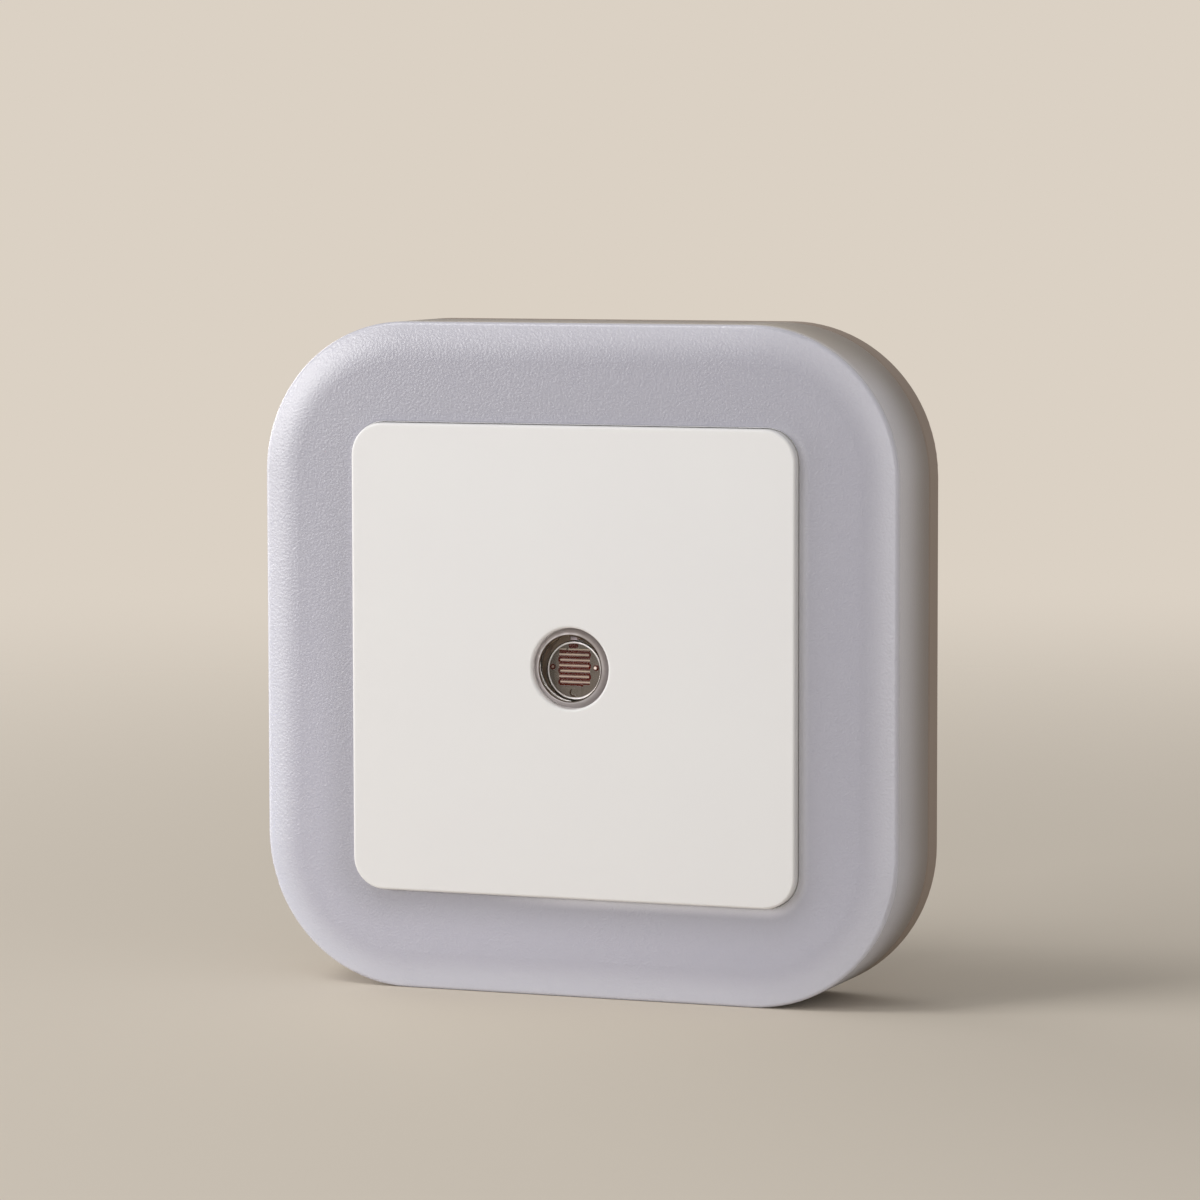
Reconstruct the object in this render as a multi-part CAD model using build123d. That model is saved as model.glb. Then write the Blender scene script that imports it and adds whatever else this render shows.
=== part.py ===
from build123d import *
from math import radians, sin
import os

# Square plug-in night light that a light sensor in its front panel switches by itself.
#
# Frame: X to the right, Y into the wall, Z up, in millimetres. The origin is on the wall
# face, midway between the plug blades. Heights are measured from the wall face towards
# the room, so a height h lies at y = -h. Places are (x, z), seen from the room.

# ---- Body ------------------------------------------------------------------------------
BODY_SIZE = 64.0  # width and height of the square body
BODY_CORNER = 14.5  # outer corner radius
BODY_DEPTH = 13.0  # wall face to the flat of the diffuser's front

# ---- Diffuser: frosted shell with a pocket that takes the front panel ---------------------
DIFFUSER_WALL = 1.8  # side wall
DIFFUSER_FRONT = 1.8  # front wall
DIFFUSER_INNER_ROUND = 1.0  # inside corner between side wall and front wall
EDGE_ROUND = 0.45  # outer front edge
CROWN_WIDTH = 3.6  # band along the edge over which the front falls away
CROWN_SLOPE = 16.0  # fall of the front where it meets the edge round, degrees
POCKET_RIM_ROUND = 0.2  # edge of the panel's pocket
LEDGE_WIDTH = 2.8  # pocket floor that carries the panel
LEDGE_THICKNESS = 1.6
LEDGE_WALL = 1.6  # thickening round the pocket, behind the front wall
OPENING_CORNER = 2.0  # corner radius of the opening inside the ledge
SEAM_CHAMFER = 0.25  # on both sides of the seam between diffuser and rear cover

# ---- Front panel: opaque square plate on four snap legs -----------------------------------
PANEL_SIZE = 44.8
PANEL_CORNER = 3.1
PANEL_THICKNESS = 2.0
PANEL_PROUD = 0.9  # panel face above the flat of the diffuser's front
PANEL_EDGE_ROUND = 0.25  # outer edge and edge of the sensor hole
PANEL_GAP = 0.06  # all round, in the pocket
OPENING_PLAY = 0.15  # rib and legs in the diffuser's opening
RIB_THICKNESS = 1.0
RIB_HEIGHT = 1.3
RIB_INNER_CORNER = 0.9
LEG_WIDTH = 7.0
LEG_THICKNESS = 1.2
HOOK_REACH = 0.7  # how far a hook stands out from its leg
HOOK_HEIGHT = 1.1
HOOK_LAND = 0.35  # straight flank of a hook, before its lead-in slope
LEG_TIP_TAPER = 0.4  # leg wall that the lead-in slope takes off
SNAP_PLAY = 0.05  # between a snap and what it holds

# ---- Rear cover: floor, rim and the tongue that snaps into the diffuser -------------------
COVER_FLOOR = 2.0
COVER_RIM = 3.0  # height of the rim that shows, up to the seam
COVER_EDGE_ROUND = 0.4
TONGUE_WALL = 1.2
TONGUE_RISE = 2.7  # above the seam
TONGUE_GAP = 0.1  # to the diffuser's side wall
BEAD_LEVEL = 1.5  # middle of the snap beads above the seam
BEAD_FOOT = 1.6
BEAD_PROUD = 0.4
BEAD_LENGTH = 18.0
STIFFENER_WALL = 1.0  # ribs on the floor, from the blade sockets to the posts
STIFFENER_RISE = 1.2

# ---- Circuit board on posts ---------------------------------------------------------------
BOARD_STANDOFF = 3.0  # cover floor to the back of the board
BOARD_THICKNESS = 1.2
BOARD_MARGIN = 1.9  # to the tongue, all round
POST_INSET = 6.5  # post axes from the board's edge
POST_RADIUS = 2.5
PEG_RADIUS = 1.0
PEG_RISE = 0.9  # above the front of the board
HOLE_PLAY = 0.1  # radial, round pegs, screws and leads
SCREW_RADIUS = 0.95
SCREW_LENGTH = 5.0
SCREW_HEAD_RADIUS = 1.9
SCREW_HEAD_HEIGHT = 1.3
SCREW_HEAD_CHAMFER = 0.4
SCREW_SLOT = 0.5  # width of the two crossed slots
SCREW_SLOT_LENGTH = 2.2
SCREW_SLOT_DEPTH = 0.7
PILOT_SPARE = 0.3  # pilot hole below the screw's tip
SCREW_PLAY = 0.05

# ---- Plug: two flat blades, as on a two-pin wall plug -------------------------------------
BLADE_SPACING = 12.7  # middle to middle
BLADE_THICKNESS = 1.5
BLADE_WIDTH = 6.3
BLADE_LENGTH = 17.0  # beyond the wall face
BLADE_HOLE_RADIUS = 1.55
BLADE_HOLE_FROM_WALL = 11.9
BLADE_TIP_TAPER = 1.6  # length of the narrowed tip
BLADE_TIP_WIDTH = 4.2
BLADE_TIP_BEVEL = 0.4
BLADE_PLAY = 0.06
SHOULDER_WIDTH = 9.0  # wide part trapped between cover floor and board
TAIL_WIDTH = 2.0
TAIL_RISE = 0.8  # above the front of the board
SOCKET_WALL = 1.3  # of the cover, round each shoulder

# ---- Light sensor: bezel, window, shroud and photocell ------------------------------------
SENSOR_DROP = 0.5  # sensor axis below the middle of the body
SENSOR_HOLE_RADIUS = 3.86
SENSOR_LIP = 0.8  # panel left in front of the bezel's foot
BEZEL_RECESS = 0.06  # land of the bezel behind the panel face
BEZEL_GAP = 0.05  # to the panel's hole, and round the foot
BEZEL_BORE_RADIUS = 3.12
BEZEL_LAND = 0.06  # flat ring between the bore and the cone
BEZEL_CONE_DEPTH = 0.72
BEZEL_FOOT = 0.15  # thickness of the foot behind the panel's lip
SENSOR_FOOT_RADIUS = 4.6  # bezel's foot, window's flange and shroud
WINDOW_RECESS = 0.04  # window face behind the bezel's land
WINDOW_GAP = 0.03  # to the bezel's bore
WINDOW_FLANGE = 0.3  # thickness
SHROUD_BORE_RADIUS = 3.3
SHROUD_SHELF = 0.8  # shelf behind the photocell
SHROUD_KEY_WIDTH = 0.65  # small key inside the shroud's mouth, above the photocell
SHROUD_KEY_REACH = 0.65
SHROUD_KEY_DEPTH = 0.6
PHOTOCELL_DROP = 0.27  # photocell axis below the sensor axis
PHOTOCELL_RADIUS = 2.83  # over its clear coat
PHOTOCELL_GAP = 0.05  # to the window
COAT_FRONT = 0.14
COAT_SIDE = 0.1
COAT_ROUND = 0.15
SUBSTRATE_THICKNESS = 1.5
FILM_THICKNESS = 0.05
FILM_MARGIN = 0.12  # bare edge of the substrate round the metal film
FILM_PLAY = 0.01  # between neighbouring films, and under the coat
TRACK_RUNS = 7
TRACK_PITCH = 0.52
TRACK_WIDTH = 0.2
TRACK_LENGTH = 2.6
TRACK_TURN_SIDES = 8  # flats of a full turn
TRACK_RISE = 0.2  # middle of the track above the photocell's axis
TRACK_END_OFFSET = 0.75  # stubs at the track's ends, left and right of the middle
TRACK_SPOT_WIDTH = 0.95  # oval spot at the top of the disc
TRACK_SPOT_HEIGHT = 0.48
TRACK_SPOT_INSET = 0.05  # from the film's edge
TRACK_DOT_RADIUS = 0.34  # round spot at the bottom
TRACK_DOT_INSET = 0.25  # from the film's edge
CELL_LEAD_SPACING = 4.4
CELL_LEAD_RISE = 0.3  # leads above the photocell's axis
CELL_LEAD_RADIUS = 0.22
CELL_LEAD_HEAD_RADIUS = 0.3
CELL_LEAD_HEAD = 0.04  # lead ends above the metal film

# ---- Parts on the board -------------------------------------------------------------------
SEAT = 0.05  # gap under the bodies on the board
LEAD_TAIL = 0.8  # lead ends behind the board
LEAD_RADIUS = 0.25
LEAD_BEND = 0.6
SOLDER_HEIGHT = 0.6
SOLDER_SPREAD = 0.5  # foot of the solder beyond the lead
SOLDER_TAPER = 25.0
SOLDER_SIDES = 6  # flats of a solder cone
SOLDER_PLAY = 0.02
HOLE_SIDES = 6  # flats of a small hole for a lead
LEAD_SIDES = 6  # flats of a thin lead

LED_INSET = 3.4  # from the board's edge to the middle of the LEDs
LED_SPREAD = 10.5  # LEDs either side of the middle of each edge
LED_LENGTH = 3.5
LED_WIDTH = 2.8
LED_HEIGHT = 0.75
LED_WELL_LENGTH = 2.4
LED_WELL_WIDTH = 1.9
LED_WELL_DEPTH = 0.35

FILM_CAP_PLACE = (-10.5, 11.5)
FILM_CAP_LENGTH = 13.0
FILM_CAP_WIDTH = 9.0
FILM_CAP_HEIGHT = 4.0
FILM_CAP_ROUND = 0.5
FILM_CAP_CHAMFER = 0.25  # round the top
FILM_CAP_PITCH = 10.0

CAN_PLACE = (10.5, 11.5)
CAN_RADIUS = 2.0
CAN_LENGTH = 8.0
CAN_CRIMP = 1.3  # from the rubber end to the middle of the crimp groove
CAN_CRIMP_DEPTH = 0.3
CAN_CRIMP_WIDTH = 0.9
CAN_RIM_ROUND = 0.35
SLEEVE_WALL = 0.12
SLEEVE_START = 2.6  # from the rubber end
SLEEVE_SHORT = 0.6  # can left bare at its flat end
BUNG_RADIUS = 1.55
BUNG_DEPTH = 1.1
CAN_LEAD_PITCH = 1.8
CAN_LEAD_REACH = 1.4

BRIDGE_PLACE = (-12.5, -7.0)
BRIDGE_LENGTH = 6.4
BRIDGE_WIDTH = 4.7
BRIDGE_HEIGHT = 2.4
BRIDGE_TAPER = 6.0
BRIDGE_NOTCH_RADIUS = 0.5
BRIDGE_LEG_PITCH = 2.54
BRIDGE_LEG_REACH = 1.2
BRIDGE_LEG_WIDTH = 0.5
BRIDGE_LEG_THICKNESS = 0.25

TRANSISTOR_PLACE = (11.5, -12.5)
TRANSISTOR_RADIUS = 2.3
TRANSISTOR_FLAT = 1.3  # flat side from the axis
TRANSISTOR_HEIGHT = 3.6
TRANSISTOR_LIFT = 0.5
TRANSISTOR_LEG_PITCH = 1.27
TRANSISTOR_LEG = 0.4

RESISTOR_LENGTH = 6.3
RESISTOR_RADIUS = 1.15
RESISTOR_WAIST_RADIUS = 0.95
RESISTOR_TIP_RADIUS = 0.5
RESISTOR_END = 1.3  # length of each thicker end
RESISTOR_SHOULDER = 0.45  # from a tip to the thickest place of its end
RESISTOR_PITCH = 10.0
RESISTORS = {
    "discharge_resistor": (-15.0, 3.4),
    "fusible_resistor": (-11.0, -14.5),
    "sensor_resistor": (15.0, -6.0),
}

# ---- Worked out from the sizes above ------------------------------------------------------
body_half = BODY_SIZE / 2
inner_half = body_half - DIFFUSER_WALL
inner_corner = BODY_CORNER - DIFFUSER_WALL
front_inside = BODY_DEPTH - DIFFUSER_FRONT

panel_face = BODY_DEPTH + PANEL_PROUD
panel_back = panel_face - PANEL_THICKNESS
pocket_half = PANEL_SIZE / 2 + PANEL_GAP
pocket_corner = PANEL_CORNER + PANEL_GAP
opening_half = pocket_half - LEDGE_WIDTH
ledge_back = panel_back - LEDGE_THICKNESS
hook_top = ledge_back - SNAP_PLAY
leg_end = hook_top - HOOK_HEIGHT
leg_outside = opening_half - OPENING_PLAY

tongue_half = inner_half - TONGUE_GAP
tongue_corner = inner_corner - TONGUE_GAP
tongue_inside = tongue_half - TONGUE_WALL
tongue_inside_corner = tongue_corner - TONGUE_WALL
tongue_top = COVER_RIM + TONGUE_RISE

board_back = COVER_FLOOR + BOARD_STANDOFF
board_front = board_back + BOARD_THICKNESS
board_half = tongue_inside - BOARD_MARGIN
board_corner = tongue_inside_corner - BOARD_MARGIN
post_place = board_half - POST_INSET
lead_end = board_back - LEAD_TAIL
part_seat = board_front + SEAT

bezel_face = panel_face - BEZEL_RECESS
foot_front = panel_face - SENSOR_LIP - SNAP_PLAY
foot_back = foot_front - BEZEL_FOOT
window_face = bezel_face - WINDOW_RECESS
window_back = foot_back - WINDOW_FLANGE
sensor_axis = (0, -SENSOR_DROP)
cell_axis = (0, -SENSOR_DROP - PHOTOCELL_DROP)
coat_face = window_back - PHOTOCELL_GAP
film_face = coat_face - COAT_FRONT
substrate_face = film_face - FILM_THICKNESS
substrate_back = substrate_face - SUBSTRATE_THICKNESS
substrate_radius = PHOTOCELL_RADIUS - COAT_SIDE
film_radius = substrate_radius - FILM_MARGIN
led_line = board_half - LED_INSET


# ---- Small helpers ------------------------------------------------------------------------
def square(half, corner):
    """Front view of a square with rounded corners."""
    return RectangleRounded(2 * half, 2 * half, corner)


def at(place, shape):
    """Move a front-view shape to a place (x, z)."""
    return Pos(place[0], place[1]) * shape


def forward(sketch, low, high, taper=0):
    """Raise a front-view sketch from one height above the wall face to another."""
    return extrude(Plane.XZ.offset(low) * sketch, amount=high - low, taper=taper)


def on_four_sides(shape):
    """Copies of a shape at the top edge on all four edges of the body."""
    return [Rot(0, 90 * side, 0) * shape for side in range(4)]


def top_prism(points, length):
    """Prism along X, centred on x = 0, from its outline as (height, z) points."""
    section = make_face(Polyline(*[(-height, z) for height, z in points], close=True))
    return extrude(Plane.YZ * section, amount=length / 2, both=True)


def group(solids):
    """Separate solids of one node."""
    return Compound(children=list(solids))


# ---- Diffuser -----------------------------------------------------------------------------
def crown_waste():
    """What is cut away round the front: crowned band and edge round, on sides and corners."""
    rise = sin(radians(CROWN_SLOPE))
    crown_radius = (CROWN_WIDTH - EDGE_ROUND * (1 - rise)) / rise
    crown = JernArc((-BODY_DEPTH, body_half - CROWN_WIDTH), (0, 1), crown_radius, -CROWN_SLOPE)
    edge = JernArc(crown @ 1, crown % 1, EDGE_ROUND, CROWN_SLOPE - 90)
    outside = body_half + EDGE_ROUND
    before = -BODY_DEPTH - EDGE_ROUND
    rest = Polyline(
        edge @ 1,
        ((edge @ 1).X, outside),
        (before, outside),
        (before, body_half - CROWN_WIDTH),
        crown @ 0,
    )
    section = Plane.YZ * make_face(Curve() + [crown, edge, rest])
    straight = extrude(section, amount=body_half - BODY_CORNER, both=True)
    middle = body_half - BODY_CORNER
    turn = Axis((middle, 0, middle), (0, 1, 0))
    corner = revolve(Pos(middle, 0, 0) * section, axis=turn, revolution_arc=90)
    return on_four_sides(straight) + on_four_sides(corner)


def bead(reach, foot, length):
    """Trapezoid ridge that stands out from the tongue at the top edge."""
    middle = COVER_RIM + BEAD_LEVEL
    base = tongue_half - TONGUE_WALL / 2
    tip = tongue_half + reach
    side = foot / 2
    flank = side - reach
    points = [
        (middle - side, base),
        (middle - side, tongue_half),
        (middle - flank, tip),
        (middle + flank, tip),
        (middle + side, tongue_half),
        (middle + side, base),
    ]
    return top_prism(points, length)


def diffuser():
    """Frosted shell: crowned front, panel pocket with its ledge, snap grooves inside."""
    shell = forward(square(body_half, BODY_CORNER), COVER_RIM, BODY_DEPTH)
    shell = chamfer(shell.edges().group_by(Axis.Y)[-1], SEAM_CHAMFER)
    hollow = forward(square(inner_half, inner_corner), COVER_RIM, front_inside)
    hollow = fillet(hollow.edges().group_by(Axis.Y)[0], DIFFUSER_INNER_ROUND)
    thickening = square(pocket_half + LEDGE_WALL, pocket_corner + LEDGE_WALL)
    shell = shell - hollow + forward(thickening, ledge_back, BODY_DEPTH)
    shell -= forward(square(pocket_half, pocket_corner), panel_back, BODY_DEPTH)
    front_edges = shell.edges().group_by(Axis.Y)[0]
    shell = fillet([e for e in front_edges if inside_pocket(e.center())], POCKET_RIM_ROUND)
    shell -= crown_waste()
    shell -= forward(square(opening_half, OPENING_CORNER), ledge_back, panel_back)
    groove = bead(BEAD_PROUD + SNAP_PLAY, BEAD_FOOT + 2 * SNAP_PLAY, BEAD_LENGTH + 2 * SNAP_PLAY)
    return shell - on_four_sides(groove)


def inside_pocket(point):
    """Whether a point lies nearer than the outside of the wall round the pocket."""
    reach = pocket_half + LEDGE_WALL
    return abs(point.X) < reach and abs(point.Z) < reach


# ---- Front panel --------------------------------------------------------------------------
def snap_leg():
    """Leg at the top edge whose hook catches behind the ledge."""
    inside = leg_outside - LEG_THICKNESS
    tip = leg_outside + HOOK_REACH
    points = [
        (panel_back, inside),
        (panel_back, leg_outside),
        (hook_top, leg_outside),
        (hook_top, tip),
        (hook_top - HOOK_LAND, tip),
        (leg_end, leg_outside - LEG_TIP_TAPER),
        (leg_end, inside),
    ]
    return top_prism(points, LEG_WIDTH)


def front_panel():
    """Opaque plate with the sensor hole, a locating rib and four snap legs behind."""
    plate = square(PANEL_SIZE / 2, PANEL_CORNER) - at(sensor_axis, Circle(SENSOR_HOLE_RADIUS))
    plate = forward(plate, panel_back, panel_face)
    plate = fillet(plate.edges().group_by(Axis.Y)[0], PANEL_EDGE_ROUND)
    seat = Circle(SENSOR_FOOT_RADIUS + BEZEL_GAP)
    plate -= forward(at(sensor_axis, seat), panel_back, panel_face - SENSOR_LIP)
    rib = square(leg_outside, OPENING_CORNER - OPENING_PLAY)
    rib -= square(leg_outside - RIB_THICKNESS, RIB_INNER_CORNER)
    plate += forward(rib, panel_back - RIB_HEIGHT, panel_back)
    return plate + on_four_sides(snap_leg())


# ---- Rear cover ---------------------------------------------------------------------------
def blade_sides():
    """Middles of the two blades, left and right, as x."""
    return (-BLADE_SPACING / 2, BLADE_SPACING / 2)


def post_places(rising):
    """Two opposite post axes; rising ones run from lower left to upper right."""
    side = post_place if rising else -post_place
    return [(post_place, side), (-post_place, -side)]


def stiffener(place):
    """Low rib on the floor from the middle of the cover towards a post."""
    length = (place[0] ** 2 + place[1] ** 2) ** 0.5
    angle = Vector(place[0], place[1]).get_signed_angle(Vector(1, 0))
    bar = Pos(length / 2, 0) * Rectangle(length, STIFFENER_WALL)
    return forward(Rot(0, 0, -angle) * bar, COVER_FLOOR, COVER_FLOOR + STIFFENER_RISE)


def rear_cover():
    """Rear shell: floor, visible rim, tongue with snap beads, posts and blade sockets."""
    cover = forward(square(body_half, BODY_CORNER), 0, COVER_RIM)
    cover = fillet(cover.edges().group_by(Axis.Y)[-1], COVER_EDGE_ROUND)
    cover = chamfer(cover.edges().group_by(Axis.Y)[0], SEAM_CHAMFER)
    cover += forward(square(tongue_half, tongue_corner), COVER_RIM, tongue_top)
    cover -= forward(square(tongue_inside, tongue_inside_corner), COVER_FLOOR, tongue_top)
    cover += on_four_sides(bead(BEAD_PROUD, BEAD_FOOT, BEAD_LENGTH))
    screw_posts = post_places(rising=True)
    peg_posts = post_places(rising=False)
    for place in screw_posts + peg_posts:
        cover += stiffener(place)
        cover += forward(at(place, Circle(POST_RADIUS)), COVER_FLOOR, board_back)
    for place in peg_posts:
        cover += forward(at(place, Circle(PEG_RADIUS)), board_back, board_front + PEG_RISE)
    screw_tip = board_front - SCREW_LENGTH
    for place in screw_posts:
        pilot = at(place, Circle(SCREW_RADIUS + SCREW_PLAY))
        cover -= forward(pilot, screw_tip - PILOT_SPARE, board_back)
    pocket_width = BLADE_THICKNESS + 2 * BLADE_PLAY
    pocket_height = SHOULDER_WIDTH + 2 * BLADE_PLAY
    for x in blade_sides():
        socket = Rectangle(pocket_width + 2 * SOCKET_WALL, pocket_height + 2 * SOCKET_WALL)
        cover += forward(at((x, 0), socket), COVER_FLOOR, board_back)
    for x in blade_sides():
        cover -= forward(at((x, 0), Rectangle(pocket_width, pocket_height)), COVER_FLOOR, board_back)
        slot = Rectangle(pocket_width, BLADE_WIDTH + 2 * BLADE_PLAY)
        cover -= forward(at((x, 0), slot), 0, COVER_FLOOR)
    return cover


# ---- Plug ---------------------------------------------------------------------------------
def plug_blade(x):
    """Flat blade with a bevelled tip, a trapped shoulder and a tail through the board."""
    tip = BLADE_LENGTH - BLADE_TIP_TAPER
    shoulder_back = COVER_FLOOR + BLADE_PLAY
    shoulder_front = board_back - BLADE_PLAY
    half_outline = [
        (board_front + TAIL_RISE, TAIL_WIDTH / 2),
        (shoulder_front, TAIL_WIDTH / 2),
        (shoulder_front, SHOULDER_WIDTH / 2),
        (shoulder_back, SHOULDER_WIDTH / 2),
        (shoulder_back, BLADE_WIDTH / 2),
        (-tip, BLADE_WIDTH / 2),
        (-BLADE_LENGTH, BLADE_TIP_WIDTH / 2),
    ]
    mirrored = [(height, -z) for height, z in reversed(half_outline)]
    blade = top_prism(half_outline + mirrored, BLADE_THICKNESS)
    blade = chamfer(blade.edges().filter_by(Axis.Z).group_by(Axis.Y)[-1], BLADE_TIP_BEVEL)
    hole = Pos(0, BLADE_HOLE_FROM_WALL, 0) * Rot(0, 90, 0)
    blade -= hole * Cylinder(BLADE_HOLE_RADIUS, 2 * BLADE_THICKNESS)
    return Pos(x, 0, 0) * blade


# ---- Light sensor -------------------------------------------------------------------------
def sensor_bezel():
    """Plated ring in the panel's hole: a land, a cone that falls away, and a foot behind."""
    outside = SENSOR_HOLE_RADIUS - BEZEL_GAP
    outline = [
        (BEZEL_BORE_RADIUS, foot_back),
        (BEZEL_BORE_RADIUS, bezel_face),
        (BEZEL_BORE_RADIUS + BEZEL_LAND, bezel_face),
        (outside, bezel_face - BEZEL_CONE_DEPTH),
        (outside, foot_front),
        (SENSOR_FOOT_RADIUS, foot_front),
        (SENSOR_FOOT_RADIUS, foot_back),
    ]
    section = make_face(Polyline(*[(radius, -height) for radius, height in outline], close=True))
    return Pos(0, 0, -SENSOR_DROP) * revolve(section, axis=Axis.Y)


def sensor_window():
    """Clear disc in the bezel's bore, with a flange behind the bezel's foot."""
    window = Circle(BEZEL_BORE_RADIUS - WINDOW_GAP)
    window = forward(at(sensor_axis, window), window_back, window_face)
    flange = at(sensor_axis, Circle(SENSOR_FOOT_RADIUS))
    return window + forward(flange, window_back, foot_back)


def light_shroud():
    """Black tube from the window to the board, with a shelf that carries the photocell."""
    ring = Circle(SENSOR_FOOT_RADIUS) - Circle(SHROUD_BORE_RADIUS)
    shroud = forward(at(sensor_axis, ring), board_front, window_back)
    key = Pos(0, SHROUD_BORE_RADIUS) * Rectangle(SHROUD_KEY_WIDTH, 2 * SHROUD_KEY_REACH)
    shroud += forward(at(sensor_axis, key), window_back - SHROUD_KEY_DEPTH, window_back)
    shelf = at(sensor_axis, Circle(SHROUD_BORE_RADIUS))
    for place in cell_lead_places():
        shelf -= at(place, lead_hole(CELL_LEAD_RADIUS + HOLE_PLAY))
    return shroud + forward(shelf, substrate_back - SHROUD_SHELF, substrate_back)


def cell_lead_places():
    """Places of the photocell's two leads."""
    x, z = cell_axis
    return [(x + side * CELL_LEAD_SPACING / 2, z + CELL_LEAD_RISE) for side in (-1, 1)]


def photocell_substrate():
    """Ceramic disc with a hole for each lead."""
    disc = Circle(substrate_radius)
    for x, z in cell_lead_places():
        disc -= Pos(x - cell_axis[0], z - cell_axis[1]) * lead_hole(CELL_LEAD_RADIUS + FILM_PLAY)
    return forward(at(cell_axis, disc), substrate_back, substrate_face)


def turn_outline(across):
    """Edge of a turn of the track, with flats along the runs that it joins."""
    tilt = 180 / TRACK_TURN_SIDES
    return RegularPolygon(across / 2, TRACK_TURN_SIDES, major_radius=False, rotation=tilt)


def track_run(run, width):
    """One straight run; the first and the last stop short at the end of the track."""
    turned = 1 if run % 2 == 0 else -1
    length = TRACK_LENGTH
    middle = 0
    if run in (0, TRACK_RUNS - 1):
        length = TRACK_LENGTH / 2 + TRACK_END_OFFSET
        middle = (TRACK_LENGTH / 2 - TRACK_END_OFFSET) / 2
        middle *= turned if run == 0 else -turned
    return Pos(middle, track_level(run)) * Rectangle(length, width)


def track_level(run):
    """Level of a run above the photocell's axis."""
    return TRACK_RISE + TRACK_PITCH * ((TRACK_RUNS - 1) / 2 - run)


def track_turn(run, width):
    """Half turn from a run to the next, on the right after even runs."""
    side = 1 if run % 2 == 0 else -1
    ring = turn_outline(TRACK_PITCH + width) - turn_outline(TRACK_PITCH - width)
    outer_half = Pos(side * TRACK_PITCH, 0) * Rectangle(2 * TRACK_PITCH, 2 * TRACK_PITCH)
    return Pos(side * TRACK_LENGTH / 2, track_level(run) - TRACK_PITCH / 2) * (ring & outer_half)


def track_end(run, edge, width):
    """Stub from the open end of the first or last run to the edge of the film."""
    side = -1 if run == 0 else 1
    if TRACK_RUNS % 2 == 0 and run > 0:
        side = -side
    start = track_level(run)
    start += width / 2 if edge < start else -width / 2
    return Pos(side * TRACK_END_OFFSET, (start + edge) / 2) * Rectangle(width, abs(edge - start))


def track_outline(width, spot_margin):
    """Front view of the winding track and its two spots, centred on the photocell's axis."""
    last = TRACK_RUNS - 1
    outline = Sketch() + [track_run(run, width) for run in range(TRACK_RUNS)]
    outline += [track_turn(run, width) for run in range(last)]
    outline += [track_end(0, film_radius, width), track_end(last, -film_radius, width)]
    spot = Ellipse(TRACK_SPOT_WIDTH / 2 + spot_margin, TRACK_SPOT_HEIGHT / 2 + spot_margin)
    outline += Pos(0, film_radius - TRACK_SPOT_HEIGHT / 2 - TRACK_SPOT_INSET) * spot
    dot_level = TRACK_DOT_RADIUS + TRACK_DOT_INSET - film_radius
    return outline + Pos(0, dot_level) * Circle(TRACK_DOT_RADIUS + spot_margin)


def photocell_track():
    """Light-sensitive track that winds between the two metal films."""
    track = track_outline(TRACK_WIDTH, 0) & Circle(film_radius)
    return group(forward(at(cell_axis, track), substrate_face, film_face).solids())


def photocell_electrodes():
    """Two metal films whose fingers lie between the runs of the track."""
    film = Circle(film_radius) - track_outline(TRACK_WIDTH + 2 * FILM_PLAY, FILM_PLAY)
    for x, z in cell_lead_places():
        hole = Circle(CELL_LEAD_HEAD_RADIUS + FILM_PLAY)
        film -= Pos(x - cell_axis[0], z - cell_axis[1]) * hole
    return group(forward(at(cell_axis, film), substrate_face, film_face).solids())


def photocell_coat():
    """Clear coat over the face and sides of the photocell."""
    coat = forward(at(cell_axis, Circle(PHOTOCELL_RADIUS)), substrate_back, coat_face)
    coat = fillet(coat.edges().group_by(Axis.Y)[0], COAT_ROUND)
    inside = at(cell_axis, Circle(substrate_radius + FILM_PLAY))
    return coat - forward(inside, substrate_back, film_face + CELL_LEAD_HEAD + FILM_PLAY)


def photocell_leads():
    """Two straight leads with flattened heads on the metal films."""
    leads = []
    for place in cell_lead_places():
        wire = RegularPolygon(CELL_LEAD_RADIUS, LEAD_SIDES)
        wire = forward(at(place, wire), lead_end, substrate_face)
        head = at(place, Circle(CELL_LEAD_HEAD_RADIUS))
        leads.append(wire + forward(head, substrate_face, film_face + CELL_LEAD_HEAD))
    return group(leads)


# ---- Circuit board ------------------------------------------------------------------------
def resistor_lead_places():
    """Places where the resistors' leads pass the board."""
    half = RESISTOR_PITCH / 2
    return [(x + side * half, z) for x, z in RESISTORS.values() for side in (-1, 1)]


def film_cap_lead_places():
    """Places of the film capacitor's two leads."""
    x, z = FILM_CAP_PLACE
    return [(x + side * FILM_CAP_PITCH / 2, z) for side in (-1, 1)]


def can_lead_places():
    """Places where the smoothing capacitor's bent leads pass the board."""
    x = CAN_PLACE[0] - CAN_LENGTH / 2 - CAN_LEAD_REACH
    return [(x, CAN_PLACE[1] + side * CAN_LEAD_PITCH / 2) for side in (-1, 1)]


def bridge_leg_places():
    """Places of the rectifier's four legs."""
    x, z = BRIDGE_PLACE
    reach = BRIDGE_WIDTH / 2 + BRIDGE_LEG_REACH - BRIDGE_LEG_THICKNESS / 2
    half = BRIDGE_LEG_PITCH / 2
    return [(x + side * half, z + row * reach) for row in (-1, 1) for side in (-1, 1)]


def transistor_leg_places():
    """Places of the transistor's three legs."""
    x, z = TRANSISTOR_PLACE
    return [(x + step * TRANSISTOR_LEG_PITCH, z) for step in (-1, 0, 1)]


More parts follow.
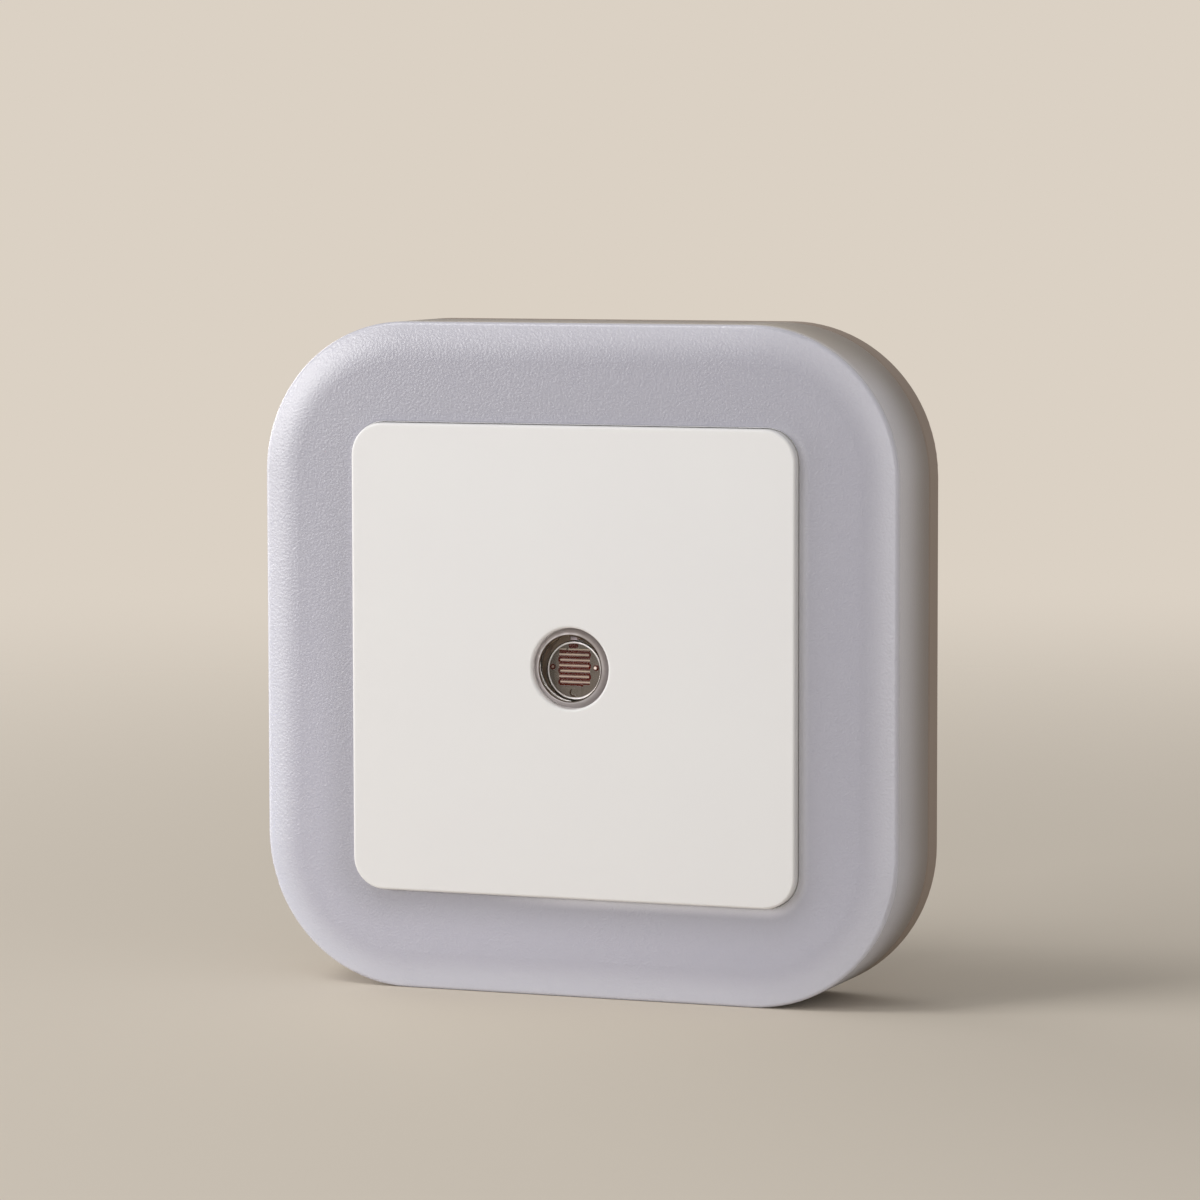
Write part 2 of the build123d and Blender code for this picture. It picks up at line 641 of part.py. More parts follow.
def soldered_leads():
    """Every lead through the board, as (place, radius of the room it needs)."""
    leads = [(place, CELL_LEAD_RADIUS) for place in cell_lead_places()]
    round_leads = resistor_lead_places() + film_cap_lead_places() + can_lead_places()
    leads += [(place, LEAD_RADIUS) for place in round_leads]
    bridge_room = half_diagonal(BRIDGE_LEG_WIDTH, BRIDGE_LEG_THICKNESS)
    leads += [(place, bridge_room) for place in bridge_leg_places()]
    transistor_room = half_diagonal(TRANSISTOR_LEG, TRANSISTOR_LEG)
    leads += [(place, transistor_room) for place in transistor_leg_places()]
    return leads


def lead_hole(radius):
    """Outline of a small hole that a round lead of this radius just fits."""
    return RegularPolygon(radius, HOLE_SIDES, major_radius=False)


def half_diagonal(width, height):
    """Half the diagonal of a rectangular leg."""
    return (width**2 + height**2) ** 0.5 / 2


def circuit_board():
    """Board with holes for its pegs, screws, leads and the tails of the blades."""
    board = square(board_half, board_corner)
    for place in post_places(rising=False):
        board -= at(place, Circle(PEG_RADIUS + HOLE_PLAY))
    for place in post_places(rising=True):
        board -= at(place, Circle(SCREW_RADIUS + HOLE_PLAY))
    for place, radius in soldered_leads():
        board -= at(place, lead_hole(radius + HOLE_PLAY))
    slot = Rectangle(BLADE_THICKNESS + 2 * HOLE_PLAY, TAIL_WIDTH + 2 * HOLE_PLAY)
    for x in blade_sides():
        board -= at((x, 0), slot)
    return forward(board, board_back, board_front)


def board_screws():
    """Two pan-head screws with crossed slots that hold the board to its posts."""
    screws = []
    for place in post_places(rising=True):
        top = board_front + SCREW_HEAD_HEIGHT
        head = forward(at(place, Circle(SCREW_HEAD_RADIUS)), board_front, top)
        head = chamfer(head.edges().group_by(Axis.Y)[0], SCREW_HEAD_CHAMFER)
        for length, width in ((SCREW_SLOT_LENGTH, SCREW_SLOT), (SCREW_SLOT, SCREW_SLOT_LENGTH)):
            head -= forward(at(place, Rectangle(length, width)), top - SCREW_SLOT_DEPTH, top)
        shank = forward(at(place, Circle(SCREW_RADIUS)), board_front - SCREW_LENGTH, board_front)
        screws.append(head + shank)
    return group(screws)


def solder_joints():
    """Cones of solder behind the board, and ridges round the blade tails in front of it."""
    joints = []
    for place, radius in soldered_leads():
        foot = RegularPolygon(radius + SOLDER_SPREAD, SOLDER_SIDES)
        cone = extrude(Plane.XZ.offset(board_back) * at(place, foot), -SOLDER_HEIGHT, taper=SOLDER_TAPER)
        joints.append(cone - forward(at(place, lead_hole(radius + SOLDER_PLAY)), 0, board_back))
    for x in blade_sides():
        inside = Rectangle(BLADE_THICKNESS + 2 * SOLDER_PLAY, TAIL_WIDTH + 2 * SOLDER_PLAY)
        foot = Rectangle(BLADE_THICKNESS + 2 * SOLDER_SPREAD, TAIL_WIDTH + 2 * SOLDER_SPREAD)
        ridge = forward(at((x, 0), foot), board_front, board_front + SOLDER_HEIGHT, SOLDER_TAPER)
        joints.append(ridge - forward(at((x, 0), inside), board_front, board_front + TAIL_RISE))
    return group(joints)


# ---- LEDs ---------------------------------------------------------------------------------
def led_places():
    """Two LEDs along each edge of the board, as (place, turned)."""
    places = []
    for along in (-LED_SPREAD, LED_SPREAD):
        places += [((along, led_line), False), ((along, -led_line), False)]
        places += [((led_line, along), True), ((-led_line, along), True)]
    return places


def led_well(margin):
    """Front view of the well in an LED's frame."""
    return Rectangle(LED_WELL_LENGTH - 2 * margin, LED_WELL_WIDTH - 2 * margin)


def led_frames():
    """White frames with a well for the phosphor."""
    frames = []
    for place, turned in led_places():
        angle = 90 if turned else 0
        top = board_front + LED_HEIGHT
        block = at(place, Rot(0, 0, angle) * Rectangle(LED_LENGTH, LED_WIDTH))
        well = at(place, Rot(0, 0, angle) * led_well(0))
        frames.append(forward(block, board_front, top) - forward(well, top - LED_WELL_DEPTH, top))
    return group(frames)


def led_phosphors():
    """Yellow phosphor that fills each well."""
    fills = []
    for place, turned in led_places():
        top = board_front + LED_HEIGHT
        fill = at(place, Rot(0, 0, 90 if turned else 0) * led_well(FILM_PLAY))
        fills.append(forward(fill, top - LED_WELL_DEPTH, top - FILM_PLAY))
    return group(fills)


# ---- Capacitors ---------------------------------------------------------------------------
def film_capacitor_leads():
    """Two straight leads under the block."""
    lead = RegularPolygon(LEAD_RADIUS, LEAD_SIDES)
    return group(forward(at(place, lead), lead_end, part_seat) for place in film_cap_lead_places())


def film_capacitor():
    """Dipped block that drops the mains voltage."""
    block = at(FILM_CAP_PLACE, Rectangle(FILM_CAP_LENGTH, FILM_CAP_WIDTH))
    block = forward(block, part_seat, part_seat + FILM_CAP_HEIGHT)
    block = fillet(block.edges().filter_by(Axis.Y), FILM_CAP_ROUND)
    return chamfer(block.edges().group_by(Axis.Y)[0], FILM_CAP_CHAMFER)


def can_height():
    """Height of the smoothing capacitor's axis."""
    return part_seat + CAN_RADIUS + SLEEVE_WALL


def lying(outline):
    """Turn (distance from the rubber end, radius) points about the can's axis along X."""
    section = make_face(Polyline(*outline, close=True))
    x = CAN_PLACE[0] - CAN_LENGTH / 2
    return Pos(x, -can_height(), CAN_PLACE[1]) * revolve(section, axis=Axis.X)


def smoothing_capacitor_can():
    """Aluminium can with a crimp groove near its rubber end, open where the bung sits."""
    crimp = CAN_RADIUS - CAN_CRIMP_DEPTH
    half = CAN_CRIMP_WIDTH / 2
    bore = BUNG_RADIUS + FILM_PLAY
    outline = [
        (0, bore),
        (0, CAN_RADIUS - CAN_RIM_ROUND),
        (CAN_RIM_ROUND, CAN_RADIUS),
        (CAN_CRIMP - half, CAN_RADIUS),
        (CAN_CRIMP, crimp),
        (CAN_CRIMP + half, CAN_RADIUS),
        (CAN_LENGTH - CAN_RIM_ROUND, CAN_RADIUS),
        (CAN_LENGTH, CAN_RADIUS - CAN_RIM_ROUND),
        (CAN_LENGTH, 0),
        (BUNG_DEPTH + FILM_PLAY, 0),
        (BUNG_DEPTH + FILM_PLAY, bore),
    ]
    return lying(outline)


def smoothing_capacitor_sleeve():
    """Shrunk sleeve round the can, short of its flat end."""
    inside = CAN_RADIUS + FILM_PLAY
    outside = inside + SLEEVE_WALL
    end = CAN_LENGTH - SLEEVE_SHORT
    return lying([(SLEEVE_START, inside), (SLEEVE_START, outside), (end, outside), (end, inside)])


def smoothing_capacitor_bung():
    """Rubber bung with a hole for each lead."""
    bung = lying([(0, 0), (0, BUNG_RADIUS), (BUNG_DEPTH, BUNG_RADIUS), (BUNG_DEPTH, 0)])
    end = CAN_PLACE[0] - CAN_LENGTH / 2
    for _, z in can_lead_places():
        hole = Plane((end, -can_height(), z), z_dir=(1, 0, 0)) * lead_hole(LEAD_RADIUS + FILM_PLAY)
        bung -= extrude(hole, amount=BUNG_DEPTH)
    return bung


def bent_lead(start_x, height, place):
    """Lead that runs out along X and bends down through the board at a place."""
    x, z = place
    path = FilletPolyline((start_x, -height, z), (x, -height, z), (x, -lead_end, z), radius=LEAD_BEND)
    return sweep(Plane(path @ 0, z_dir=path % 0) * RegularPolygon(LEAD_RADIUS, LEAD_SIDES), path=path)


def smoothing_capacitor_leads():
    """Two leads from the rubber bung, bent down to the board."""
    start = CAN_PLACE[0] - CAN_LENGTH / 2 + BUNG_DEPTH
    return group(bent_lead(start, can_height(), place) for place in can_lead_places())


# ---- Rectifier, transistor and resistors --------------------------------------------------
def bridge_rectifier():
    """Moulded block with drafted sides and a notch that marks its first leg."""
    middle = part_seat + BRIDGE_HEIGHT / 2
    block = at(BRIDGE_PLACE, Rectangle(BRIDGE_LENGTH, BRIDGE_WIDTH))
    body = forward(block, middle, part_seat + BRIDGE_HEIGHT, taper=BRIDGE_TAPER)
    body += extrude(Plane.XZ.offset(middle) * block, amount=-BRIDGE_HEIGHT / 2, taper=BRIDGE_TAPER)
    notch = (BRIDGE_PLACE[0] - BRIDGE_LENGTH / 2, BRIDGE_PLACE[1])
    top = part_seat + BRIDGE_HEIGHT
    return body - forward(at(notch, Circle(BRIDGE_NOTCH_RADIUS)), top - BRIDGE_NOTCH_RADIUS, top)


def bridge_leg(place):
    """Flat leg that leaves the block halfway up and bends down through the board."""
    x, z = place
    side = 1 if z > BRIDGE_PLACE[1] else -1
    outer = z + side * BRIDGE_LEG_THICKNESS / 2
    inner = z - side * BRIDGE_LEG_THICKNESS / 2
    root = BRIDGE_PLACE[1] + side * (BRIDGE_WIDTH / 2 + FILM_PLAY)
    top = part_seat + BRIDGE_HEIGHT / 2 + BRIDGE_LEG_THICKNESS / 2
    under = top - BRIDGE_LEG_THICKNESS
    outline = [(top, root), (top, outer), (lead_end, outer)]
    outline += [(lead_end, inner), (under, inner), (under, root)]
    leg = top_prism(outline, BRIDGE_LEG_WIDTH)
    return Pos(x, 0, 0) * leg


def bridge_rectifier_legs():
    """Four flat legs."""
    return group(bridge_leg(place) for place in bridge_leg_places())


def transistor():
    """Moulded body with one flat side, standing on its legs."""
    low = board_front + TRANSISTOR_LIFT
    across = 2 * TRANSISTOR_RADIUS
    beyond_flat = Pos(0, TRANSISTOR_FLAT + TRANSISTOR_RADIUS) * Rectangle(across, across)
    outline = Circle(TRANSISTOR_RADIUS) - beyond_flat
    return forward(at(TRANSISTOR_PLACE, outline), low, low + TRANSISTOR_HEIGHT)


def transistor_legs():
    """Three square legs under the body."""
    leg = Rectangle(TRANSISTOR_LEG, TRANSISTOR_LEG)
    top = board_front + TRANSISTOR_LIFT
    return group(forward(at(place, leg), lead_end, top) for place in transistor_leg_places())


def resistor(place):
    """Axial resistor body with thicker ends, lying along X."""
    half = RESISTOR_LENGTH / 2
    outline = [
        (-half, 0),
        (-half, RESISTOR_TIP_RADIUS),
        (RESISTOR_SHOULDER - half, RESISTOR_RADIUS),
        (RESISTOR_END - half, RESISTOR_WAIST_RADIUS),
    ]
    outline += [(-along, radius) for along, radius in reversed(outline)]
    body = revolve(make_face(Polyline(*outline, close=True)), axis=Axis.X)
    return Pos(place[0], -part_seat - RESISTOR_RADIUS, place[1]) * body


def resistor_leads():
    """Bent leads of the three resistors."""
    leads = []
    for x, z in RESISTORS.values():
        for side in (-1, 1):
            start = x + side * (RESISTOR_LENGTH / 2 + FILM_PLAY)
            end = (x + side * RESISTOR_PITCH / 2, z)
            leads.append(bent_lead(start, part_seat + RESISTOR_RADIUS, end))
    return group(leads)


# ---- All nodes ----------------------------------------------------------------------------
def all_parts():
    """Every node of the night light by name."""
    left, right = blade_sides()
    parts = {
        "diffuser": diffuser(),
        "front_panel": front_panel(),
        "rear_cover": rear_cover(),
        "plug_blade_left": plug_blade(left),
        "plug_blade_right": plug_blade(right),
        "sensor_bezel": sensor_bezel(),
        "sensor_window": sensor_window(),
        "light_shroud": light_shroud(),
        "photocell_substrate": photocell_substrate(),
        "photocell_track": photocell_track(),
        "photocell_electrodes": photocell_electrodes(),
        "photocell_coat": photocell_coat(),
        "photocell_leads": photocell_leads(),
        "circuit_board": circuit_board(),
        "board_screws": board_screws(),
        "solder_joints": solder_joints(),
        "led_frames": led_frames(),
        "led_phosphors": led_phosphors(),
        "film_capacitor": film_capacitor(),
        "film_capacitor_leads": film_capacitor_leads(),
        "smoothing_capacitor_can": smoothing_capacitor_can(),
        "smoothing_capacitor_sleeve": smoothing_capacitor_sleeve(),
        "smoothing_capacitor_bung": smoothing_capacitor_bung(),
        "smoothing_capacitor_leads": smoothing_capacitor_leads(),
        "bridge_rectifier": bridge_rectifier(),
        "bridge_rectifier_legs": bridge_rectifier_legs(),
        "transistor": transistor(),
        "transistor_legs": transistor_legs(),
        "resistor_leads": resistor_leads(),
    }
    for name, place in RESISTORS.items():
        parts[name] = resistor(place)
    return parts


os.makedirs("parts", exist_ok=True)
for node, shape in all_parts().items():
    export_step(shape, f"parts/{node}.step")
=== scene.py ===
"""Looks of a square plug-in night light that a light sensor switches by itself.

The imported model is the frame: X to the right, Y into the wall, Z up, in metres, with the origin on
the wall face between the plug blades. Sizes that a class holds are in millimetres.
"""

import logging
from collections.abc import Iterable, Mapping
from dataclasses import dataclass
from math import cos, radians, sin

import bpy
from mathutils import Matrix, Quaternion, Vector


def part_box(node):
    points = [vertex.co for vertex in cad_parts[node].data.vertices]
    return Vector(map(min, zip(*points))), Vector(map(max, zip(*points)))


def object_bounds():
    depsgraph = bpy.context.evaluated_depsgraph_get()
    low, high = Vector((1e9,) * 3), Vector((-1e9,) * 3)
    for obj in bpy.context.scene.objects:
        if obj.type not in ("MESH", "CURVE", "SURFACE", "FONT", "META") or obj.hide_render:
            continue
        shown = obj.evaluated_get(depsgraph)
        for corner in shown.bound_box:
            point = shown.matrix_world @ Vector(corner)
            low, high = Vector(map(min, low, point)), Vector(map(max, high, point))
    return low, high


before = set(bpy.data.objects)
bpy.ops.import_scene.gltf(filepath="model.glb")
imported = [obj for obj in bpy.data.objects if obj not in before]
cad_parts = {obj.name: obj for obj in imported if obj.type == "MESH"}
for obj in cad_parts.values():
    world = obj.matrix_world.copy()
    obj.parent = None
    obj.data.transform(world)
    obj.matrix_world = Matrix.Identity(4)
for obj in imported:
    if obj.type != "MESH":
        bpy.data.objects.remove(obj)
packed_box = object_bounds()

LOG = logging.getLogger("night_light")
MM = 0.001
SRGB_KNEE, SRGB_SLOPE = 0.04045, 12.92  # the straight start of the sRGB curve
SRGB_OFFSET, SRGB_POWER = 0.055, 2.4  # and the bent rest of it
SHARE, FIRST_COLOUR, SECOND_COLOUR = 0, 6, 7  # sockets of a Mix node of colours
FRONT_PLANE = (1.0, 0.0, 1.0)  # keeps what is seen from the front, and drops the depth
CLOUD_LOW, CLOUD_HIGH = 0.3, 0.7  # most values of a noise lie between them
Colour = tuple[float, float, float, float]


# ---- Small tools ----------------------------------------------------------------------------
def linear(code: str) -> Colour:
    """Turn an sRGB hex colour into a linear one.

    Args:
        code: The colour, such as "#e3dedb".

    Returns:
        Linear red, green and blue, and an alpha of 1.
    """
    channels = [int(code[start:start + 2], 16) / 255 for start in (1, 3, 5)]
    red, green, blue = (
        c / SRGB_SLOPE if c <= SRGB_KNEE else ((c + SRGB_OFFSET) / (1 + SRGB_OFFSET)) ** SRGB_POWER
        for c in channels
    )
    return red, green, blue, 1.0


def per(size_mm: float) -> float:
    """Scale of a pattern whose features have a real size in millimetres."""
    return 1 / (size_mm * MM)


def centre_of(node: str) -> Vector:
    """Middle of a CAD node's box, in millimetres."""
    low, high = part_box(node)
    return (low + high) / (2 * MM)


def half_width(node: str) -> float:
    """Half the width of a CAD node, in millimetres."""
    low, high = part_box(node)
    return (high.x - low.x) / (2 * MM)


def add(
    tree: bpy.types.NodeTree,
    kind: str,
    inputs: Mapping[str | int, object] | Iterable[object] = (),
    **settings: object,
) -> bpy.types.Node:
    """Add a node with its settings, values and links.

    Args:
        tree: The node tree that the node goes into.
        kind: Blender's name for the kind of node.
        inputs: Values for the inputs, in order or by name or number. A node stands for its first
            output in use, and a socket or a node is linked.
        settings: Properties of the node.

    Returns:
        The new node.
    """
    node = tree.nodes.new(kind)
    for name, value in settings.items():
        setattr(node, name, value)
    pairs = inputs.items() if isinstance(inputs, Mapping) else enumerate(inputs)
    for key, value in pairs:
        if isinstance(value, bpy.types.Node):
            value = next(output for output in value.outputs if output.enabled)
        if isinstance(value, bpy.types.NodeSocket):
            tree.links.new(value, node.inputs[key])
        else:
            node.inputs[key].default_value = value
    return node


# ---- Finishes -------------------------------------------------------------------------------
@dataclass(frozen=True)
class Finish:
    """A real material, and how its surface was made."""

    name: str
    colour: str
    roughness: float
    ior: float = 1.5
    metallic: float = 0.0

    def material(self) -> bpy.types.Material:
        """Build the material.

        Returns:
            A material whose patterns follow the piece's own coordinates.
        """
        material = bpy.data.materials.new(self.name)
        material.use_nodes = True
        tree = material.node_tree
        tree.nodes.clear()
        place = add(tree, "ShaderNodeTexCoord").outputs["Object"]
        add(tree, "ShaderNodeOutputMaterial", {"Surface": self.surface(tree, place)})
        return material

    def surface(self, tree: bpy.types.NodeTree, place: bpy.types.NodeSocket) -> bpy.types.Node:
        """Build the shader of the surface.

        Args:
            tree: The material's node tree.
            place: Coordinates of the shaded point, in metres.

        Returns:
            The node whose output is the surface.
        """
        raise NotImplementedError

    def principled(self, tree: bpy.types.NodeTree, inputs: Mapping[str, object]) -> bpy.types.Node:
        """Add the main shader with this finish's plain values and what a pattern gives it.

        Args:
            tree: The material's node tree.
            inputs: Values and links that the pattern gives.

        Returns:
            The shader node.
        """
        plain = {
            "Base Color": linear(self.colour),
            "Roughness": self.roughness,
            "IOR": self.ior,
            "Metallic": self.metallic,
        }
        return add(tree, "ShaderNodeBsdfPrincipled", {**plain, **inputs})

    def paint(
        self, tree: bpy.types.NodeTree, under: object, share: bpy.types.Node, colour: str
    ) -> bpy.types.Node:
        """Lay a colour over what lies under it.

        Args:
            tree: The material's node tree.
            under: The colour under it, or the node that gives it.
            share: How much of the new colour shows.
            colour: The new colour.

        Returns:
            The node that gives the colour.
        """
        tones = {SHARE: share, FIRST_COLOUR: under, SECOND_COLOUR: linear(colour)}
        return add(tree, "ShaderNodeMix", tones, data_type="RGBA")

    def fade(
        self, tree: bpy.types.NodeTree, value: bpy.types.NodeSocket, zero: float, one: float
    ) -> bpy.types.Node:
        """Fade smoothly from 0 to 1 between two places.

        Args:
            tree: The material's node tree.
            value: A length in metres.
            zero: Where the fade is 0, in millimetres.
            one: Where the fade is 1, in millimetres.

        Returns:
            The node that gives the share.
        """
        steps = [value, zero * MM, one * MM, 0.0, 1.0]
        return add(tree, "ShaderNodeMapRange", steps, interpolation_type="SMOOTHSTEP")

    def relief(
        self,
        tree: bpy.types.NodeTree,
        place: bpy.types.NodeSocket | bpy.types.Node,
        size_mm: float,
        depth_mm: float,
        detail: float = 2.0,
    ) -> bpy.types.Node:
        """Build the bump of a fine, uneven relief.

        Args:
            tree: The material's node tree.
            place: Coordinates of the shaded point, in metres.
            size_mm: How wide its features are, in millimetres.
            depth_mm: How deep they are, in millimetres.
            detail: How many finer layers it has.

        Returns:
            The bump node.
        """
        noise = {"Vector": place, "Scale": per(size_mm), "Detail": detail}
        height = add(tree, "ShaderNodeTexNoise", noise)
        depth = {"Height": height, "Distance": depth_mm * MM, "Strength": 1.0}
        return add(tree, "ShaderNodeBump", depth)


@dataclass(frozen=True)
class MouldedPlastic(Finish):
    """Injection-moulded plastic: a spark-eroded grain, and faint cloudy flow in its tone.

    A real grain is 0.03 to 0.1 mm wide. It is drawn as coarse as it needs to show.
    """

    flow_colour: str = "#808080"
    flow_mm: float = 9.0
    grain_mm: float = 0.25
    grain_depth_mm: float = 0.004
    grain_detail: float = 3.0
    subsurface: float = 0.0
    scatter_mm: float = 0.5

    def surface(self, tree: bpy.types.NodeTree, place: bpy.types.NodeSocket) -> bpy.types.Node:
        """Build the shader: two close tones, and a fine grain in the light."""
        return self.plastic(tree, place, {"Base Color": self.tones(tree, place)})

    def plastic(
        self, tree: bpy.types.NodeTree, place: bpy.types.NodeSocket, inputs: Mapping[str, object]
    ) -> bpy.types.Node:
        """Add the shader of a grained plastic that scatters a little light.

        Args:
            tree: The material's node tree.
            place: Coordinates of the shaded point, in metres.
            inputs: Values and links that the pattern gives.

        Returns:
            The shader node.
        """
        size, depth = self.grain_mm, self.grain_depth_mm
        plain = {
            "Normal": self.relief(tree, place, size, depth, self.grain_detail),
            "Subsurface Weight": self.subsurface,
            "Subsurface Radius": (1.0, 1.0, 1.0),
            "Subsurface Scale": self.scatter_mm * MM,
        }
        return self.principled(tree, {**plain, **inputs})

    def tones(self, tree: bpy.types.NodeTree, place: bpy.types.NodeSocket) -> bpy.types.Node:
        """Build the colour of the plastic, clouded by its flow.

        Args:
            tree: The material's node tree.
            place: Coordinates of the shaded point, in metres.

        Returns:
            The node that gives the colour.
        """
        flow = add(tree, "ShaderNodeTexNoise", {"Vector": place, "Scale": per(self.flow_mm)})
        return self.paint(tree, linear(self.colour), flow, self.flow_colour)


@dataclass(frozen=True)
class FrostedShell(MouldedPlastic):
    """Milky moulded shell: paler at its solid edge, darker where it is a skin, with painted light
    and shade laid over these tones.

    Its tones follow its two outlines, the body's and the pocket's, and its depth. A band gives how
    far from an outline a tone is full, and how far from it the tone has faded. Painted light:
    lighter towards the lower left, in the groove round the panel and over the panel's shadow on its
    right and lower sides, and a painted highlight in the pale edge band, strongest at the lower
    left. Painted shade: round the panel and on the top wall. Towards the rear it is darker, partly
    from the cover's tongue behind it, partly painted shade.
    """

    half_mm: float = half_width("diffuser")
    corner_mm: float = 14.5
    panel_half_mm: float = half_width("front_panel")
    panel_corner_mm: float = 3.1
    panel_gap_mm: float = 0.06
    # Painted light: the shell is lighter towards the lower left.
    lower_left_light_colour: str = "#b9b8c4"
    lower_left_light_side: tuple[float, float, float] = (-0.4, 0.0, -0.75)
    lower_left_light_reach_mm: tuple[float, float] = (-10.0, 30.0)
    # Painted shade round the panel.
    panel_shade_colour: str = "#a9a8b2"
    panel_shade_band_mm: tuple[float, float] = (0.2, 4.5)
    # Painted light over the panel's shadow, on its right and lower sides.
    shadow_lift_colour: str = "#c9c8cf"
    shadow_lift_side: tuple[float, float, float] = (1.0, 0.0, -0.6)
    shadow_lift_reach_mm: tuple[float, float] = (4.0, 16.0)
    shadow_lift_band_mm: tuple[float, float] = (0.2, 1.2)
    # Painted light in the groove round the panel.
    groove_light_colour: str = "#fdfcfd"
    groove_light_band_mm: tuple[float, float] = (0.02, 0.12)
    # Paler edge band: partly the shell's solid edge, partly a painted highlight of its crown.
    pale_edge_and_highlight_colour: str = "#c1c0c9"
    # Painted highlight on the edge band at the lower left.
    lower_left_highlight_colour: str = "#cdced9"
    pale_edge_and_highlight_band_mm: tuple[float, float] = (0.3, 3.6)
    # Darker towards the rear: partly the cover's tongue behind the skin, partly painted shade.
    rear_tongue_and_shade_colour: str = "#857c76"
    rear_tongue_and_shade_mm: tuple[float, float] = (3.0, 12.5)
    # Painted shade on the top wall, towards the rear.
    top_shade_colour: str = "#8d857f"
    top_shade_side: tuple[float, float, float] = (0.0, 0.0, 1.0)
    top_shade_reach_mm: tuple[float, float] = (25.0, 32.0)
    top_shade_depth_mm: tuple[float, float] = (10.6, 12.2)
    side_roughness: float = 0.6

    def surface(self, tree: bpy.types.NodeTree, place: bpy.types.NodeSocket) -> bpy.types.Node:
        """Build the shader: the tones of the front, and over them those of the side: the darkening
        towards the rear, and the painted shade on the top wall.
        """
        depth = add(tree, "ShaderNodeSeparateXYZ", [place]).outputs["Y"]
        # Darker towards the rear seam: partly the cover's tongue behind the skin, partly painted
        # shade.
        seam, front = self.rear_tongue_and_shade_mm
        behind = self.fade(tree, depth, -front, -seam)
        colour = self.paint(tree, self.front(tree, place), behind, self.rear_tongue_and_shade_colour)
        # Painted shade on the top wall, towards the rear.
        near, far = self.top_shade_depth_mm
        top = [
            self.fade(tree, depth, -far, -near),
            self.towards(tree, place, self.top_shade_side, self.top_shade_reach_mm),
        ]
        top = add(tree, "ShaderNodeMath", top, operation="MULTIPLY")
        rough = [behind, 0.0, 1.0, self.roughness, self.side_roughness]
        milky = {
            "Base Color": self.paint(tree, colour, top, self.top_shade_colour),
            "Roughness": add(tree, "ShaderNodeMapRange", rough),
        }
        return self.plastic(tree, place, milky)

    def front(self, tree: bpy.types.NodeTree, place: bpy.types.NodeSocket) -> bpy.types.Node:
        """Build the colour of the front, from the pocket's wall out to the body's edge, with its
        painted light and shade.

        Args:
            tree: The material's node tree.
            place: Coordinates of the shaded point, in metres.

        Returns:
            The node that gives the colour.
        """
        # Painted light: lighter towards the lower left.
        lower_left_light = self.towards(tree, place, self.lower_left_light_side, self.lower_left_light_reach_mm)
        colour = self.paint(tree, self.tones(tree, place), lower_left_light, self.lower_left_light_colour)
        gap = self.panel_gap_mm
        pocket = [self.panel_half_mm + gap, self.panel_corner_mm + gap]
        pocket = self.outline(tree, place, *pocket)
        # Painted shade round the panel.
        near, far = self.panel_shade_band_mm
        colour = self.paint(tree, colour, self.fade(tree, pocket, far, near), self.panel_shade_colour)
        # Painted light over the panel's shadow, on its right and lower sides.
        near, far = self.shadow_lift_band_mm
        side = self.towards(tree, place, self.shadow_lift_side, self.shadow_lift_reach_mm)
        shadow_lift = [self.fade(tree, pocket, far, near), side]
        shadow_lift = add(tree, "ShaderNodeMath", shadow_lift, operation="MULTIPLY")
        colour = self.paint(tree, colour, shadow_lift, self.shadow_lift_colour)
        # Painted light in the groove round the panel.
        near, far = self.groove_light_band_mm
        colour = self.paint(tree, colour, self.fade(tree, pocket, far, near), self.groove_light_colour)
        body = self.outline(tree, place, self.half_mm, self.corner_mm)
        # Paler edge band: partly the shell's solid edge, partly a painted highlight of its crown.
        near, far = self.pale_edge_and_highlight_band_mm
        edge = self.fade(tree, body, -far, -near)
        colour = self.paint(tree, colour, edge, self.pale_edge_and_highlight_colour)
        # Painted highlight on the edge band at the lower left.
        lower_left_highlight = add(tree, "ShaderNodeMath", [edge, lower_left_light], operation="MULTIPLY")
        return self.paint(tree, colour, lower_left_highlight, self.lower_left_highlight_colour)

    def towards(
        self,
        tree: bpy.types.NodeTree,
        place: bpy.types.NodeSocket,
        side: tuple[float, float, float],
        reach: tuple[float, float],
    ) -> bpy.types.Node:
        """Fade from 0 to 1 towards one side of the shell.

        Args:
            tree: The material's node tree.
            place: Coordinates of the shaded point, in metres.
            side: The direction of that side.
            reach: How far along it the fade is 0, and 1, in millimetres.

        Returns:
            The node that gives the share.
        """
        along = add(tree, "ShaderNodeVectorMath", [place, side], operation="DOT_PRODUCT")
        return self.fade(tree, along.outputs["Value"], *reach)

